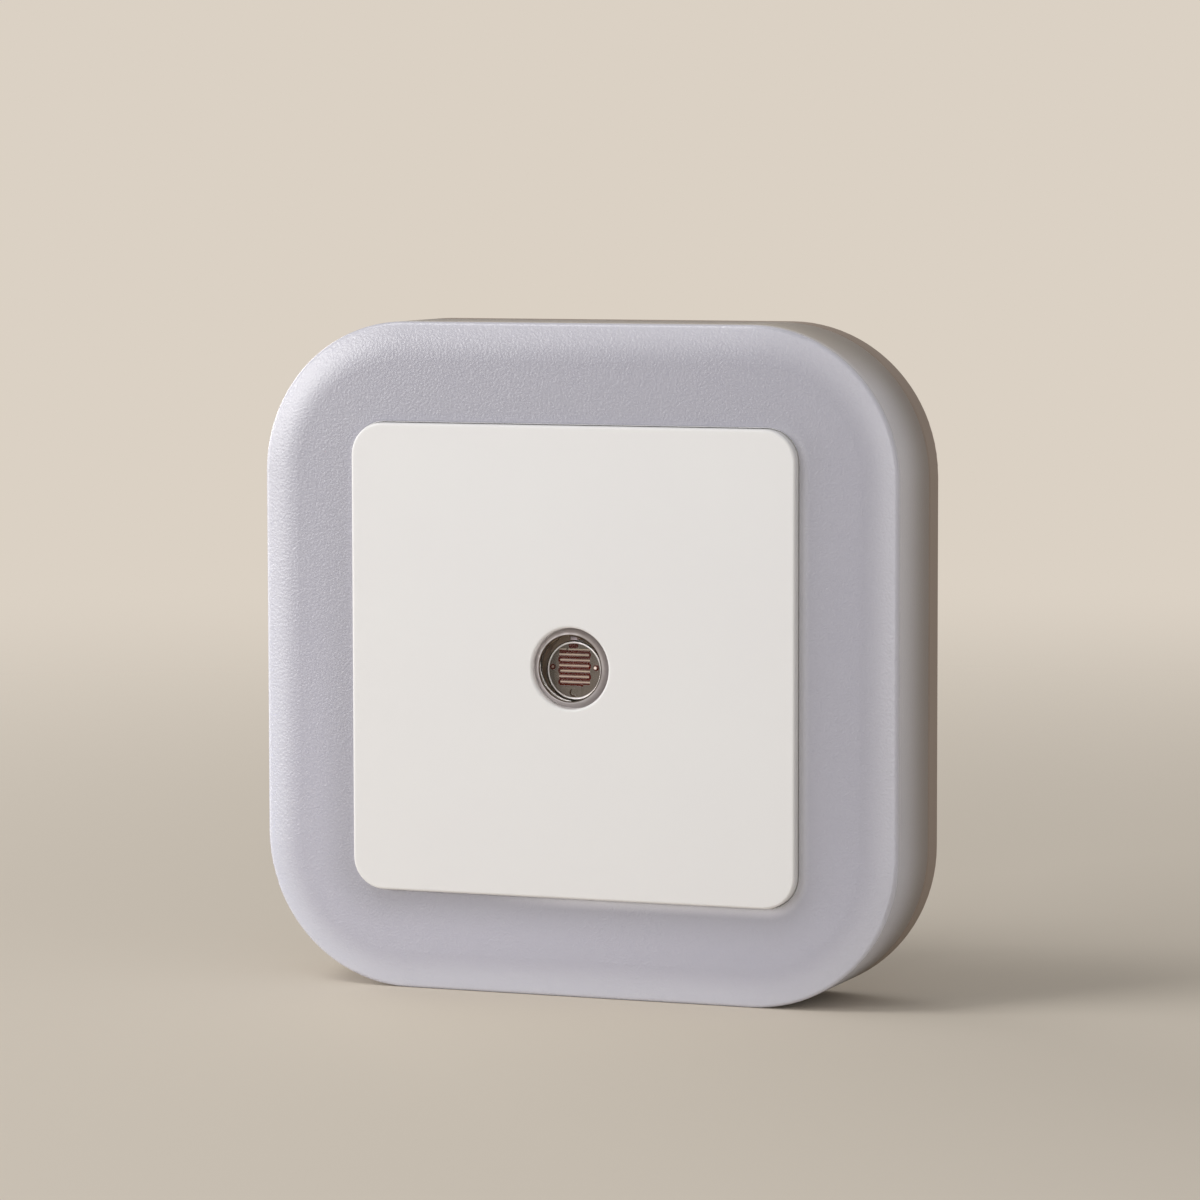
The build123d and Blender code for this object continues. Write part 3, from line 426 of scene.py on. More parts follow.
    def outline(
        self, tree: bpy.types.NodeTree, place: bpy.types.NodeSocket, half: float, corner: float
    ) -> bpy.types.Node:
        """Measure how far a point lies outside a square with round corners, seen from the front.

        Args:
            tree: The material's node tree.
            place: Coordinates of the shaded point, in metres.
            half: Half the square's width, in millimetres.
            corner: Its corner radius, in millimetres.

        Returns:
            The node that gives the distance in metres, below 0 inside the square.
        """
        away = add(tree, "ShaderNodeVectorMath", [place], operation="ABSOLUTE")
        straight = (half - corner) * MM
        away = [away, (straight, 0.0, straight)]
        away = add(tree, "ShaderNodeVectorMath", away, operation="SUBTRACT")
        flat = add(tree, "ShaderNodeVectorMath", [away, FRONT_PLANE], operation="MULTIPLY")
        past = add(tree, "ShaderNodeVectorMath", [flat, (0.0, 0.0, 0.0)], operation="MAXIMUM")
        reach = add(tree, "ShaderNodeVectorMath", [past], operation="LENGTH").outputs["Value"]
        sides = add(tree, "ShaderNodeSeparateXYZ", [away]).outputs
        widest = add(tree, "ShaderNodeMath", [sides["X"], sides["Z"]], operation="MAXIMUM")
        inside = add(tree, "ShaderNodeMath", [widest, 0.0], operation="MINIMUM")
        total = add(tree, "ShaderNodeMath", [reach, inside], operation="ADD")
        return add(tree, "ShaderNodeMath", [total, corner * MM], operation="SUBTRACT")


@dataclass(frozen=True)
class ClearPlastic(Finish):
    """Polished clear plastic with a breath of haze, that lets lamplight through."""

    haze: float = 0.04
    haze_mm: float = 2.0

    def surface(self, tree: bpy.types.NodeTree, place: bpy.types.NodeSocket) -> bpy.types.Node:
        """Build the shader: glass for the eye, and open for the light of lamps."""
        cloud = add(tree, "ShaderNodeTexNoise", {"Vector": place, "Scale": per(self.haze_mm)})
        hazy = [cloud, CLOUD_LOW, CLOUD_HIGH, self.roughness, self.roughness + self.haze]
        roughness = add(tree, "ShaderNodeMapRange", hazy)
        clear = self.principled(tree, {"Transmission Weight": 1.0, "Roughness": roughness})
        open_to_lamps = add(tree, "ShaderNodeBsdfTransparent", {"Color": linear(self.colour)})
        ray = add(tree, "ShaderNodeLightPath").outputs["Is Shadow Ray"]
        return add(tree, "ShaderNodeMixShader", [ray, clear, open_to_lamps])


@dataclass(frozen=True)
class PlainMetal(Finish):
    """Metal with a tarnish that clouds its tone, and fine lines along one direction.

    Real drawn lines are a few hundredths of a millimetre apart. They are drawn wider, to show.
    """

    tarnish: str = "#808080"
    tarnish_mm: float = 3.0
    polish: tuple[float, float] = (0.8, 1.3)
    line_mm: float = 0.1
    line_depth_mm: float = 0.002
    along: tuple[float, float, float] = (1.0, 0.05, 1.0)

    def surface(self, tree: bpy.types.NodeTree, place: bpy.types.NodeSocket) -> bpy.types.Node:
        """Build the shader: clouded tone and roughness, and drawn lines in the light."""
        cloud = add(tree, "ShaderNodeTexNoise", {"Vector": place, "Scale": per(self.tarnish_mm)})
        shiny, matt = (self.roughness * factor for factor in self.polish)
        gloss = [cloud, CLOUD_LOW, CLOUD_HIGH, shiny, matt]
        drawn = add(tree, "ShaderNodeVectorMath", [place, self.along], operation="MULTIPLY")
        metal = {
            "Base Color": self.paint(tree, linear(self.colour), cloud, self.tarnish),
            "Roughness": add(tree, "ShaderNodeMapRange", gloss),
            "Normal": self.relief(tree, drawn, self.line_mm, self.line_depth_mm),
        }
        return self.principled(tree, metal)


@dataclass(frozen=True)
class RoundFields(Finish):
    """Surface in fields round an axis that points out of the front.

    The axis goes through the middle of a CAD node, or a little aside of it. Places are measured
    from it, to the right and upwards.
    """

    node: str = "photocell_substrate"
    aside_mm: tuple[float, float] = (0.0, 0.0)
    blur_mm: float = 0.08

    def centred(self, tree: bpy.types.NodeTree, place: bpy.types.NodeSocket) -> bpy.types.Node:
        """Measure a point's place from the axis.

        Args:
            tree: The material's node tree.
            place: Coordinates of the shaded point, in metres.

        Returns:
            The node that gives the place.
        """
        side, up = self.aside_mm
        centre = centre_of(self.node)
        axis = ((centre.x + side) * MM, 0.0, (centre.z + up) * MM)
        return add(tree, "ShaderNodeVectorMath", [place, axis], operation="SUBTRACT")

    def disc(
        self,
        tree: bpy.types.NodeTree,
        centred: bpy.types.Node,
        radius: float,
        middle: tuple[float, float] = (0.0, 0.0),
    ) -> bpy.types.Node:
        """Mark a round field.

        Args:
            tree: The material's node tree.
            centred: Coordinates from the axis, in metres.
            radius: The field's radius, in millimetres.
            middle: The field's middle, to the right and upwards.

        Returns:
            The node whose value is 1 inside the field.
        """
        side, up = middle
        away = [centred, (side * MM, 0.0, up * MM)]
        away = add(tree, "ShaderNodeVectorMath", away, operation="SUBTRACT")
        flat = add(tree, "ShaderNodeVectorMath", [away, FRONT_PLANE], operation="MULTIPLY")
        reach = add(tree, "ShaderNodeVectorMath", [flat], operation="LENGTH").outputs["Value"]
        half = self.blur_mm / 2
        return self.fade(tree, reach, radius + half, radius - half)


@dataclass(frozen=True)
class PlatedRing(RoundFields):
    """Plated ring in steps, each with its own tone of painted light and shade, and painted shade
    towards one side.
    """

    node: str = "sensor_bezel"
    # The tones of the rings are painted light and shade.
    rings: tuple[tuple[float, str], ...] = ()
    # Painted shade towards one side.
    painted_shade_colour: str = "#b9b5b4"
    painted_shade_side: tuple[float, float, float] = (0.95, 0.0, 0.1)
    painted_shade_reach_mm: float = 4.2
    ripple_mm: float = 0.5
    polish: tuple[float, float] = (0.8, 1.3)

    def surface(self, tree: bpy.types.NodeTree, place: bpy.types.NodeSocket) -> bpy.types.Node:
        """Build the shader: the painted steps from the outside in, then the painted shade on one
        side.
        """
        centred = self.centred(tree, place)
        colour = linear(self.colour)
        # Painted light and shade in steps.
        for radius, tone in self.rings:
            colour = self.paint(tree, colour, self.disc(tree, centred, radius), tone)
        # Painted shade towards one side.
        along = [centred, self.painted_shade_side]
        along = add(tree, "ShaderNodeVectorMath", along, operation="DOT_PRODUCT").outputs["Value"]
        painted_shade = self.fade(tree, along, -self.painted_shade_reach_mm, self.painted_shade_reach_mm)
        tones = {SHARE: painted_shade, FIRST_COLOUR: colour, SECOND_COLOUR: linear(self.painted_shade_colour)}
        colour = add(tree, "ShaderNodeMix", tones, data_type="RGBA", blend_type="MULTIPLY")
        ripple = add(tree, "ShaderNodeTexNoise", {"Vector": place, "Scale": per(self.ripple_mm)})
        shiny, matt = (self.roughness * factor for factor in self.polish)
        gloss = [ripple, CLOUD_LOW, CLOUD_HIGH, shiny, matt]
        roughness = add(tree, "ShaderNodeMapRange", gloss)
        return self.principled(tree, {"Base Color": colour, "Roughness": roughness})


@dataclass(frozen=True)
class CellFace(RoundFields):
    """Thin layer on the photocell's face, in fields: the fingers, the spots and the rim, which is
    partly silvering and partly a painted highlight of the coat's edge.

    A spot is how far to the right and up it lies, its radius in millimetres, and its colour.
    """

    finger_colour: str = "#a3978a"
    run_colour: str = "#420b05"
    # Partly silvering, partly a painted highlight of the coat's edge.
    rim_silver_and_highlight_colour: str = "#f3f1f4"
    fingers_mm: tuple[float, float, float, float] = (-1.56, 1.56, -1.36, 2.05)
    spots: tuple[tuple[float, float, float, str], ...] = (
        (-0.32, 2.36, 0.3, "#3d0b06"),
        (0.08, 2.36, 0.3, "#3d0b06"),
        (-0.12, -2.12, 0.4, "#2a1a10"),
        (-0.12, -2.12, 0.22, "#93897b"),
    )
    rim_mm: float = 2.59
    speckle_mm: float = 0.12
    speckle_depth_mm: float = 0.002
    bleed_mm: float = 0.18
    run_level_mm: float = 0.2
    run_pitch_mm: float = 0.52

    def surface(self, tree: bpy.types.NodeTree, place: bpy.types.NodeSocket) -> bpy.types.Node:
        """Build the shader: each field is painted over the one before."""
        centred = self.centred(tree, place)
        fingers = self.fingers(tree, centred)
        colour = self.paint(tree, linear(self.colour), fingers, self.finger_colour)
        bleed = [fingers, self.bleed(tree, centred)]
        bleed = add(tree, "ShaderNodeMath", bleed, operation="MULTIPLY")
        colour = self.paint(tree, colour, bleed, self.run_colour)
        for side, up, radius, tone in self.spots:
            spot = self.disc(tree, centred, radius, (side, up))
            colour = self.paint(tree, colour, spot, tone)
        # The rim: its silvering, brightened into a painted highlight of the coat's edge.
        face = self.disc(tree, centred, self.rim_mm)
        rim = add(tree, "ShaderNodeMath", [1.0, face], operation="SUBTRACT")
        colour = self.paint(tree, colour, rim, self.rim_silver_and_highlight_colour)
        speckle = self.relief(tree, place, self.speckle_mm, self.speckle_depth_mm)
        return self.principled(tree, {"Base Color": colour, "Normal": speckle})

    def bleed(self, tree: bpy.types.NodeTree, centred: bpy.types.Node) -> bpy.types.Node:
        """Mark the edges of the fingers, where the track shows through the film.

        Args:
            tree: The material's node tree.
            centred: Coordinates from the cell's axis, in metres.

        Returns:
            The node whose value is 1 close to a run of the track.
        """
        level = add(tree, "ShaderNodeSeparateXYZ", [centred]).outputs["Z"]
        level = add(tree, "ShaderNodeMath", [level, self.run_level_mm * MM], operation="SUBTRACT")
        half_pitch = self.run_pitch_mm * MM / 2
        away = add(tree, "ShaderNodeMath", [level, half_pitch], operation="PINGPONG")
        half = self.blur_mm / 2
        return self.fade(tree, away, self.bleed_mm + half, self.bleed_mm - half)

    def fingers(self, tree: bpy.types.NodeTree, centred: bpy.types.Node) -> bpy.types.Node:
        """Mark the rectangle that the fingers fill.

        Args:
            tree: The material's node tree.
            centred: Coordinates from the cell's axis, in metres.

        Returns:
            The node whose value is 1 among the fingers.
        """
        left, right, low, high = self.fingers_mm
        sides = add(tree, "ShaderNodeSeparateXYZ", [centred]).outputs
        steps = []
        edges = (("X", left, 1), ("X", right, -1), ("Z", low, 1), ("Z", high, -1))
        for axis, edge, inward in edges:
            step = inward * self.blur_mm / 2
            steps.append(self.fade(tree, sides[axis], edge - step, edge + step))
        across = add(tree, "ShaderNodeMath", steps[:2], operation="MULTIPLY")
        along = add(tree, "ShaderNodeMath", steps[2:], operation="MULTIPLY")
        return add(tree, "ShaderNodeMath", [across, along], operation="MULTIPLY")


@dataclass(frozen=True)
class KeyedPlastic(MouldedPlastic):
    """Plastic of the shroud, with a pale key at the top of its mouth."""

    key_colour: str = "#f4e9ea"
    key_half_mm: float = 0.34
    key_above_mm: float = 2.1

    def surface(self, tree: bpy.types.NodeTree, place: bpy.types.NodeSocket) -> bpy.types.Node:
        """Build the shader: the key stands in the middle, above a level."""
        sides = add(tree, "ShaderNodeSeparateXYZ", [place]).outputs
        middle = [sides["X"], 0.0, self.key_half_mm * MM]
        middle = add(tree, "ShaderNodeMath", middle, operation="COMPARE")
        above = [sides["Z"], self.key_above_mm * MM]
        above = add(tree, "ShaderNodeMath", above, operation="GREATER_THAN")
        key = add(tree, "ShaderNodeMath", [middle, above], operation="MULTIPLY")
        colour = self.paint(tree, self.tones(tree, place), key, self.key_colour)
        return self.plastic(tree, place, {"Base Color": colour})


@dataclass(frozen=True)
class BandedLacquer(MouldedPlastic):
    """Lacquer on an axial resistor, with painted rings at right angles to its leads.

    A ring is how far from the resistor's middle it lies, in millimetres, and its colour.
    """

    node: str = "discharge_resistor"
    rings: tuple[tuple[float, str], ...] = ()
    ring_mm: float = 0.62

    def surface(self, tree: bpy.types.NodeTree, place: bpy.types.NodeSocket) -> bpy.types.Node:
        """Build the shader: each ring is painted where its share of the length is."""
        along = add(tree, "ShaderNodeSeparateXYZ", [place]).outputs["X"]
        colour = self.tones(tree, place)
        middle = centre_of(self.node).x
        for offset, ring_colour in self.rings:
            painted = [along, (middle + offset) * MM, self.ring_mm * MM / 2]
            painted = add(tree, "ShaderNodeMath", painted, operation="COMPARE")
            colour = self.paint(tree, colour, painted, ring_colour)
        return self.plastic(tree, place, {"Base Color": colour})


@dataclass(frozen=True)
class ShrunkSleeve(MouldedPlastic):
    """Shrunk sleeve round a can that lies along X, with a pale stripe on its lower side."""

    node: str = "smoothing_capacitor_sleeve"
    stripe_colour: str = "#b9bcc4"
    stripe_below_mm: float = 1.2

    def surface(self, tree: bpy.types.NodeTree, place: bpy.types.NodeSocket) -> bpy.types.Node:
        """Build the shader: the stripe marks the side of the negative lead."""
        level = add(tree, "ShaderNodeSeparateXYZ", [place]).outputs["Z"]
        stripe = [level, (centre_of(self.node).z - self.stripe_below_mm) * MM]
        stripe = add(tree, "ShaderNodeMath", stripe, operation="LESS_THAN")
        colour = self.paint(tree, self.tones(tree, place), stripe, self.stripe_colour)
        return self.plastic(tree, place, {"Base Color": colour})


FROSTED_SHELL = FrostedShell(
    # Polycarbonate with a light-scattering filler, moulded with an eroded front: soft, milky gloss.
    name="frosted_polycarbonate",
    colour="#abaab4",
    flow_colour="#a8a7b2",
    roughness=0.27,
    ior=1.58,
    grain_mm=0.24,
    grain_depth_mm=0.034,
    subsurface=0.5,
    scatter_mm=1.2,
)
PANEL_WHITE = MouldedPlastic(
    # Opaque ABS, moulded: matt white with a fine even grain.
    name="matt_white_abs",
    colour="#e1e0df",
    flow_colour="#dfdddd",
    roughness=0.55,
    ior=1.52,
    flow_mm=14.0,
    grain_mm=0.18,
    grain_depth_mm=0.002,
    subsurface=0.35,
)
COVER_GREIGE = MouldedPlastic(
    # Opaque ABS, moulded in a warm grey: satin, with a coarser grain than the front.
    name="warm_grey_abs",
    colour="#998a7f",
    flow_colour="#94857a",
    roughness=0.65,
    ior=1.45,
    grain_mm=0.35,
    grain_depth_mm=0.006,
)
SHROUD_BROWN = KeyedPlastic(
    # ABS, moulded in a warm brown: half shiny, dark inside its deep bore, with a pale key.
    name="warm_brown_abs",
    colour="#a8937f",
    flow_colour="#97826f",
    roughness=0.35,
    grain_depth_mm=0.001,
)
CLEAR_ACRYLIC = ClearPlastic(
    # Acrylic, moulded and polished: water clear.
    name="clear_acrylic",
    colour="#fdfdfd",
    roughness=0.0,
    ior=1.2,
    haze=0.01,
)
CLEAR_EPOXY = ClearPlastic(
    # Epoxy, dipped: clear with a trace of yellow.
    name="clear_epoxy",
    colour="#fbfaf8",
    roughness=0.0,
    ior=1.15,
    haze=0.02,
)
ALUMINA = CellFace(
    # Alumina, pressed and fired, silvered round its rim: chalky white inside a bright line that is
    # partly that silvering, partly a painted highlight.
    name="alumina_ceramic",
    colour="#efeae2",
    finger_colour="#efeae2",
    run_colour="#efeae2",
    spots=(),
    roughness=0.3,
)
CADMIUM_TRACK = CellFace(
    # Sintered cadmium sulphide: dark red-brown between the fingers, under grey film at its ends.
    name="cadmium_sulphide",
    colour="#564f49",
    finger_colour="#420b05",
    fingers_mm=(-1.75, 1.75, -1.5, 1.9),
    spots=((-0.32, 2.36, 0.3, "#3d0b06"), (0.08, 2.36, 0.3, "#3d0b06")),
    roughness=0.4,
    ior=1.2,
)
TIN_FILM = CellFace(
    # Evaporated tin: a dull grey-brown film, beige on the fingers, and silvery round the rim,
    # brightened there by a painted highlight.
    name="tin_film",
    colour="#59524c",
    roughness=0.35,
    ior=1.2,
)
NICKEL_PLATE = PlainMetal(
    # Stamped brass with bright nickel plating: a pale warm metal with fine lines along the blade.
    name="nickel_plated_brass",
    colour="#cdc6b8",
    tarnish="#b9b1a3",
    roughness=0.22,
    metallic=1.0,
)
TINNED_COPPER = PlainMetal(
    # Tinned copper wire: soft bright grey.
    name="tinned_copper",
    colour="#c9c8c4",
    tarnish="#aeaca6",
    roughness=0.3,
    metallic=1.0,
)
LEAD_HEADS = CellFace(
    # Copper wire with a flattened head, set in red varnish: a dark red dot, with a painted highlight
    # inside it.
    name="varnished_copper",
    colour="#59524c",
    spots=(
        (-2.2, 0.3, 0.3, "#42100a"),
        # Painted highlight in the left head.
        (-2.2, 0.3, 0.12, "#8d6f66"),
        (2.2, 0.3, 0.3, "#42100a"),
        # Painted highlight in the right head.
        (2.1, 0.3, 0.14, "#dccfc8"),
    ),
    roughness=0.35,
    ior=1.2,
)
SATIN_NICKEL = PlatedRing(
    # ABS, plated with satin nickel: a painted highlight line inside a slope in painted shade,
    # painted dark shade inside the line, and painted shade towards the right.
    name="nickel_plated_abs",
    colour="#f8f5f7",
    roughness=0.42,
    metallic=1.0,
    aside_mm=(-0.02, 0.02),
    # Painted shade on the slope, a painted highlight line, and painted dark shade inside it.
    rings=((3.74, "#e6e1e2"), (3.38, "#f6f4f6"), (3.22, "#4f4238")),
)
ZINC_STEEL = PlainMetal(
    # Steel, headed and zinc plated: cool grey with a dull shine.
    name="zinc_plated_steel",
    colour="#b9bcc0",
    tarnish="#a3a6ab",
    roughness=0.34,
    metallic=1.0,
)
SOLDER = PlainMetal(
    # Tin solder, flowed: bright where it froze first, and cloudy between.
    name="tin_solder",
    colour="#d2d3d6",
    tarnish="#b5b6ba",
    tarnish_mm=0.8,
    roughness=0.2,
    metallic=1.0,
    line_mm=0.3,
)
DRAWN_ALUMINIUM = PlainMetal(
    # Aluminium, drawn into a can: pale, with lines along the draw.
    name="drawn_aluminium",
    colour="#d6d7d8",
    tarnish="#c6c7c9",
    roughness=0.28,
    metallic=1.0,
    along=(0.05, 1.0, 1.0),
)
BOARD_LACQUER = MouldedPlastic(
    # Epoxy-glass board under white lacquer, screen printed: warm white, the weave just felt.
    name="white_board_lacquer",
    colour="#eceeea",
    flow_colour="#e2e5df",
    roughness=0.38,
    flow_mm=4.0,
    grain_mm=0.5,
    grain_depth_mm=0.003,
)
LED_FRAME = MouldedPlastic(
    # Filled nylon, moulded: dense bright white.
    name="white_filled_nylon",
    colour="#f1efe9",
    flow_colour="#ebe8e1",
    roughness=0.4,
    grain_mm=0.1,
    grain_depth_mm=0.001,
)
LED_PHOSPHOR = MouldedPlastic(
    # Silicone filled with phosphor grit, dispensed: wet egg-yolk yellow.
    name="phosphor_silicone",
    colour="#e8cf55",
    flow_colour="#dcc04a",
    roughness=0.18,
    ior=1.41,
    flow_mm=0.4,
    grain_mm=0.05,
    grain_depth_mm=0.001,
)
DIPPED_RED = MouldedPlastic(
    # Epoxy powder coat, dipped: glossy red-brown with orange peel.
    name="dipped_epoxy",
    colour="#8f3322",
    flow_colour="#7f2b1d",
    roughness=0.2,
    ior=1.55,
    flow_mm=3.0,
    grain_mm=1.3,
    grain_depth_mm=0.02,
)
BLACK_EPOXY = MouldedPlastic(
    # Filled epoxy, transfer moulded: charcoal, matt from its filler.
    name="moulded_black_epoxy",
    colour="#2b2a2b",
    flow_colour="#323032",
    roughness=0.55,
    grain_mm=0.12,
    grain_depth_mm=0.004,
)
BUNG_RUBBER = MouldedPlastic(
    # Butyl rubber, moulded: dull black.
    name="butyl_rubber",
    colour="#242223",
    flow_colour="#2b292a",
    roughness=0.75,
    grain_mm=0.2,
    grain_depth_mm=0.006,
)
SLEEVE = ShrunkSleeve(
    # Polyester film, heat shrunk: glossy navy, drawn tight with faint ripples.
    name="shrunk_polyester",
    colour="#232a3d",
    flow_colour="#1d2334",
    roughness=0.2,
    ior=1.6,
    flow_mm=2.0,
    grain_mm=0.8,
    grain_depth_mm=0.01,
)
DISCHARGE_LACQUER = BandedLacquer(
    # Beige lacquer on a ceramic rod, dipped: soft gloss over brown, black, green and gold rings.
    name="beige_lacquer_discharge",
    colour="#cfae7c",
    flow_colour="#c7a573",
    roughness=0.25,
    grain_mm=0.7,
    grain_depth_mm=0.01,
    node="discharge_resistor",
    rings=((-2.3, "#5b3a24"), (-1.0, "#1e1c1b"), (0.1, "#3f7a45"), (2.3, "#b08a3a")),
)
SENSOR_LACQUER = BandedLacquer(
    # The same beige lacquer, over two orange rings, a yellow and a gold one.
    name="beige_lacquer_sensor",
    colour="#cfae7c",
    flow_colour="#c7a573",
    roughness=0.25,
    grain_mm=0.7,
    grain_depth_mm=0.01,
    node="sensor_resistor",
    rings=((-2.3, "#c46a2a"), (-1.0, "#c46a2a"), (0.1, "#c9b13c"), (2.3, "#b08a3a")),
)
FUSIBLE_LACQUER = BandedLacquer(
    # Flameproof blue-grey lacquer, dipped: duller and rougher, over brown, black and white rings.
    name="blue_grey_lacquer",
    colour="#7f95a6",
    flow_colour="#768c9d",
    roughness=0.32,
    grain_mm=0.5,
    grain_depth_mm=0.012,
    node="fusible_resistor",
    rings=((-2.3, "#5b3a24"), (-1.0, "#1e1c1b"), (0.1, "#1e1c1b"), (2.3, "#e5e2dc")),
)


# ---- Sub-assemblies -------------------------------------------------------------------------
def dress(nodes: Mapping[str, bpy.types.Material]) -> None:
    """Give CAD nodes their materials.

    Args:
        nodes: The material of each node by the node's name.
    """
    for name, material in nodes.items():
        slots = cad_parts[name].material_slots
        for slot in slots:
            slot.material = material
        LOG.info("%s: %s", name, material.name)


@dataclass
class Housing:
    """Frosted shell, front panel and rear cover."""

    shell: FrostedShell = FROSTED_SHELL
    panel: MouldedPlastic = PANEL_WHITE
    cover: MouldedPlastic = COVER_GREIGE

    def build(self) -> None:
        """Dress the housing."""
        dress(
            {
                "diffuser": self.shell.material(),
                "front_panel": self.panel.material(),
                "rear_cover": self.cover.material(),
            }
        )


@dataclass
class Plug:
    """The two blades."""

    metal: PlainMetal = NICKEL_PLATE

    def build(self) -> None:
        """Dress the blades."""
        metal = self.metal.material()
        dress({"plug_blade_left": metal, "plug_blade_right": metal})


@dataclass
class LightSensor:
    """Plated ring, window, shroud and photocell."""

    ring: PlatedRing = SATIN_NICKEL
    window: ClearPlastic = CLEAR_ACRYLIC
    shroud: KeyedPlastic = SHROUD_BROWN
    ceramic: CellFace = ALUMINA
    track: CellFace = CADMIUM_TRACK
    film: CellFace = TIN_FILM
    coat: ClearPlastic = CLEAR_EPOXY
    leads: CellFace = LEAD_HEADS

    def build(self) -> None:
        """Dress the sensor."""
        dress(
            {
                "sensor_bezel": self.ring.material(),
                "sensor_window": self.window.material(),
                "light_shroud": self.shroud.material(),
                "photocell_substrate": self.ceramic.material(),
                "photocell_track": self.track.material(),
                "photocell_electrodes": self.film.material(),
                "photocell_coat": self.coat.material(),
                "photocell_leads": self.leads.material(),
            }
        )


@dataclass
class Electronics:
    """Circuit board, and what is screwed or soldered to it."""

    board: MouldedPlastic = BOARD_LACQUER
    screws: PlainMetal = ZINC_STEEL
    solder: PlainMetal = SOLDER
    wire: PlainMetal = TINNED_COPPER
    led_frame: MouldedPlastic = LED_FRAME
    led_phosphor: MouldedPlastic = LED_PHOSPHOR
    dip: MouldedPlastic = DIPPED_RED
    can: PlainMetal = DRAWN_ALUMINIUM
    sleeve: ShrunkSleeve = SLEEVE
    bung: MouldedPlastic = BUNG_RUBBER
    epoxy: MouldedPlastic = BLACK_EPOXY
    discharge: BandedLacquer = DISCHARGE_LACQUER
    sensor: BandedLacquer = SENSOR_LACQUER
    fusible: BandedLacquer = FUSIBLE_LACQUER

    def build(self) -> None:
        """Dress the board and its parts."""
        wire = self.wire.material()
        epoxy = self.epoxy.material()
        dress(
            {
                "circuit_board": self.board.material(),
                "board_screws": self.screws.material(),
                "solder_joints": self.solder.material(),
                "led_frames": self.led_frame.material(),
                "led_phosphors": self.led_phosphor.material(),
                "film_capacitor": self.dip.material(),
                "film_capacitor_leads": wire,
                "smoothing_capacitor_can": self.can.material(),
                "smoothing_capacitor_sleeve": self.sleeve.material(),
                "smoothing_capacitor_bung": self.bung.material(),
                "smoothing_capacitor_leads": wire,
                "bridge_rectifier": epoxy,
                "bridge_rectifier_legs": wire,
                "transistor": epoxy,
                "transistor_legs": wire,
                "discharge_resistor": self.discharge.material(),
                "sensor_resistor": self.sensor.material(),
                "fusible_resistor": self.fusible.material(),
                "resistor_leads": wire,
            }
        )


# ---- Studio ---------------------------------------------------------------------------------
@dataclass(frozen=True)
class Lamp:
    """A soft rectangular lamp that faces the middle of the body.

    Its distance and size are in metres, its power in watts, and its angles in degrees.
    """

    name: str
    azimuth: float
    elevation: float
    distance: float
    size: tuple[float, float]
    power: float
    colour: str = "#ffffff"

    def build(self) -> None:
        """Hang the lamp. Azimuth 0 is in front of the body, and 90 is on its right."""
        light = bpy.data.lights.new(self.name, "AREA")
        light.shape = "RECTANGLE"
        light.size, light.size_y = self.size
        light.energy = self.power
        light.color = linear(self.colour)[:3]
        lamp = bpy.data.objects.new(self.name, light)
        across, up = radians(self.azimuth), radians(self.elevation)
        towards = Vector((sin(across) * cos(up), -cos(across) * cos(up), sin(up)))
        lamp.location = towards * self.distance
        lamp.rotation_mode = "QUATERNION"
        lamp.rotation_quaternion = (-towards).to_track_quat("-Z", "Y")
        bpy.context.scene.collection.objects.link(lamp)


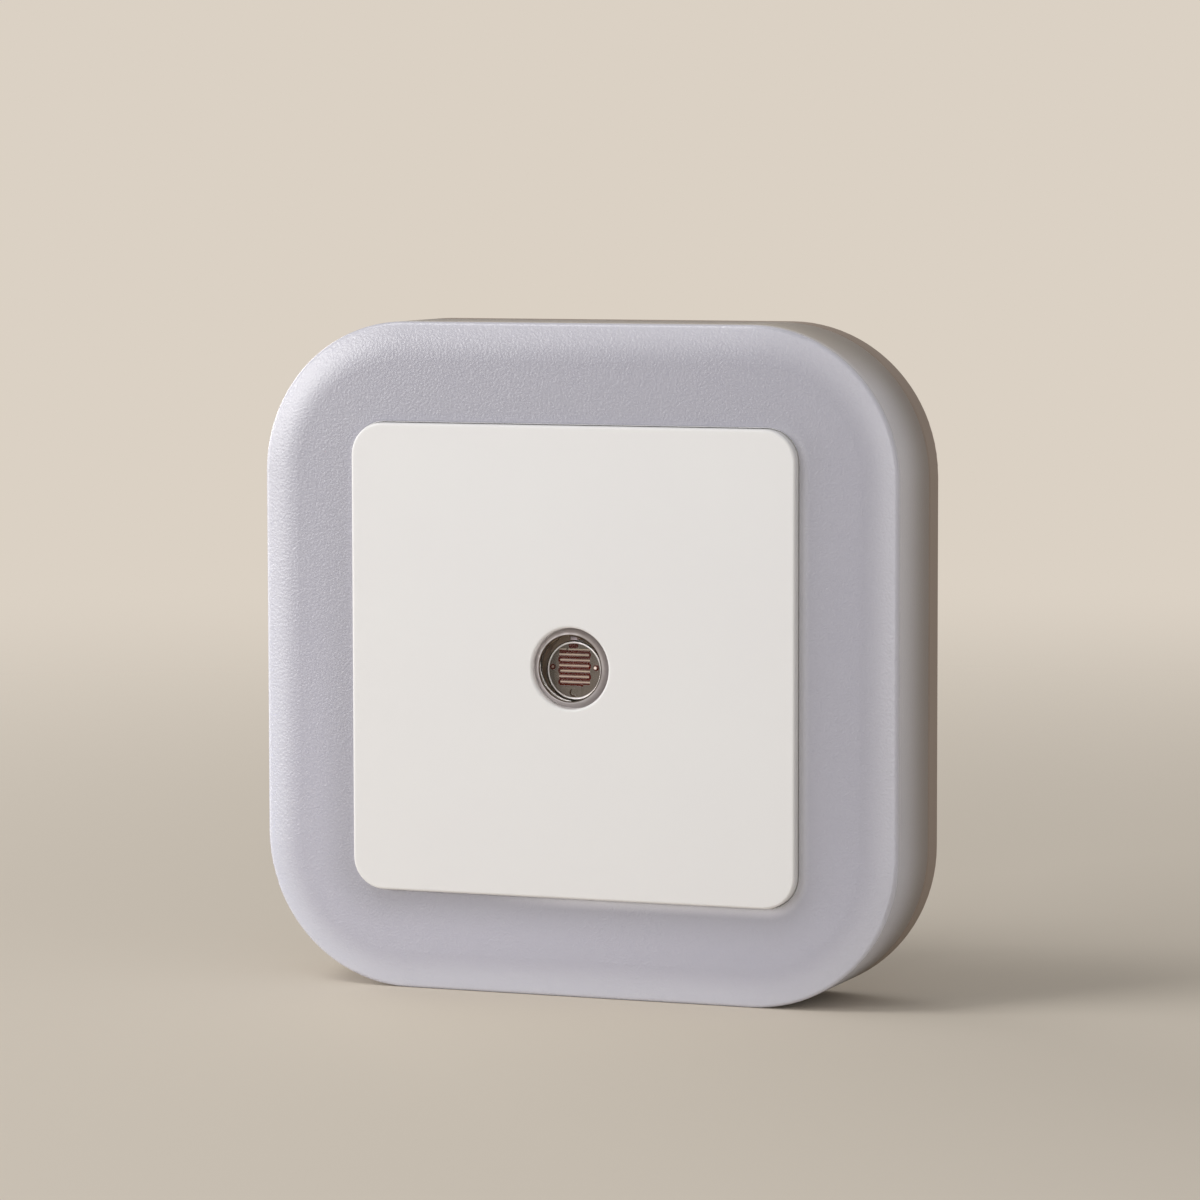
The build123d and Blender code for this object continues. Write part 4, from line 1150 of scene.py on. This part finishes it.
@dataclass
class Studio:
    """Camera, floor, world and lamps.

    Angles are in degrees, the camera's clipping is in metres, and other lengths in millimetres.
    """

    target: tuple[float, float, float] = (3.07, -13.9, 6.1)
    azimuth: float = 21.13
    elevation: float = 4.85
    roll: float = -0.11
    distance: float = 485.8
    lens: float = 155.16
    sensor_width: float = 36.0
    clipping: tuple[float, float] = (0.01, 20.0)
    floor_sides: int = 96
    floor_radius: float = 1200.0
    floor_fade: tuple[float, float] = (60.0, 480.0)
    floor_colour: str = "#d9cfc1"
    backdrop: str = "#dbd1c4"
    daylight: float = 0.35
    lamps: tuple[Lamp, ...] = (
        Lamp("key", -42.0, 10.0, 0.8, (0.34, 0.3), 2.7),
        Lamp("side", -78.0, 3.0, 0.8, (0.4, 0.5), 2.2),
        Lamp("edge", 14.0, 0.0, 0.8, (0.06, 0.5), 0.8),
        Lamp("right", 72.0, 4.0, 0.7, (0.5, 0.5), 0.6),
        Lamp("sky", -45.0, 55.0, 0.9, (0.35, 0.35), 2.1),
        Lamp("behind", 238.0, 14.0, 0.9, (0.5, 0.4), 2.2),
    )

    def build(self) -> None:
        """Set up everything that isn't part of the object."""
        bpy.context.scene.view_settings.view_transform = "Standard"
        self.camera()
        self.floor()
        self.world()
        for lamp in self.lamps:
            lamp.build()
        LOG.info("studio: camera, floor and %d lamps", len(self.lamps))

    def camera(self) -> None:
        """Place the camera by its angles round the target."""
        data = bpy.data.cameras.new("camera")
        data.sensor_width = self.sensor_width
        data.lens = self.lens
        data.clip_start, data.clip_end = self.clipping
        camera = bpy.data.objects.new("camera", data)
        turn, pitch = radians(self.azimuth), radians(self.elevation)
        ahead = Vector((-sin(turn) * cos(pitch), cos(turn) * cos(pitch), -sin(pitch)))
        camera.location = Vector(self.target) * MM - ahead * self.distance * MM
        camera.rotation_mode = "QUATERNION"
        level = ahead.to_track_quat("-Z", "Y")
        camera.rotation_quaternion = level @ Quaternion((0.0, 0.0, 1.0), radians(self.roll))
        bpy.context.scene.collection.objects.link(camera)
        bpy.context.scene.camera = camera

    def floor(self) -> None:
        """Lay a round pale floor under the body that fades into the backdrop."""
        lowest = packed_box[0].z
        bpy.ops.object.select_all(action="DESELECT")
        bpy.ops.mesh.primitive_circle_add(
            vertices=self.floor_sides,
            radius=self.floor_radius * MM,
            fill_type="NGON",
            location=(0.0, 0.0, lowest),
        )
        floor = bpy.context.object
        floor.name = "floor"
        material = bpy.data.materials.new("floor_paper")
        material.use_nodes = True
        tree = material.node_tree
        tree.nodes.clear()
        place = add(tree, "ShaderNodeTexCoord").outputs["Object"]
        away = add(tree, "ShaderNodeVectorMath", [place], operation="LENGTH").outputs["Value"]
        near, far = self.floor_fade
        fade = [away, near * MM, far * MM, 0.0, 1.0]
        gone = add(tree, "ShaderNodeMapRange", fade, interpolation_type="SMOOTHSTEP")
        paper = add(tree, "ShaderNodeBsdfDiffuse", {"Color": linear(self.floor_colour)})
        clear = add(tree, "ShaderNodeBsdfTransparent")
        surface = add(tree, "ShaderNodeMixShader", [gone, paper, clear])
        add(tree, "ShaderNodeOutputMaterial", {"Surface": surface})
        floor.data.materials.append(material)

    def world(self) -> None:
        """Light the scene evenly, behind a backdrop that the eye, metal and glass see."""
        world = bpy.data.worlds.new("studio")
        bpy.context.scene.world = world
        world.use_nodes = True
        tree = world.node_tree
        tree.nodes.clear()
        rays = add(tree, "ShaderNodeLightPath").outputs
        seen = [rays["Is Camera Ray"], rays["Is Glossy Ray"]]
        seen = add(tree, "ShaderNodeMath", seen, operation="MAXIMUM")
        seen = [seen, rays["Is Transmission Ray"]]
        seen = add(tree, "ShaderNodeMath", seen, operation="MAXIMUM")
        light = add(tree, "ShaderNodeBackground", [linear("#ffffff"), self.daylight])
        backdrop = add(tree, "ShaderNodeBackground", [linear(self.backdrop), 1.0])
        surface = add(tree, "ShaderNodeMixShader", [seen, light, backdrop])
        add(tree, "ShaderNodeOutputWorld", {"Surface": surface})


def main() -> None:
    """Build the studio and dress every sub-assembly."""
    logging.basicConfig(level=logging.INFO, format="%(message)s")
    Studio().build()
    for part in (Housing(), Plug(), LightSensor(), Electronics()):
        part.build()


if __name__ == "__main__":
    main()
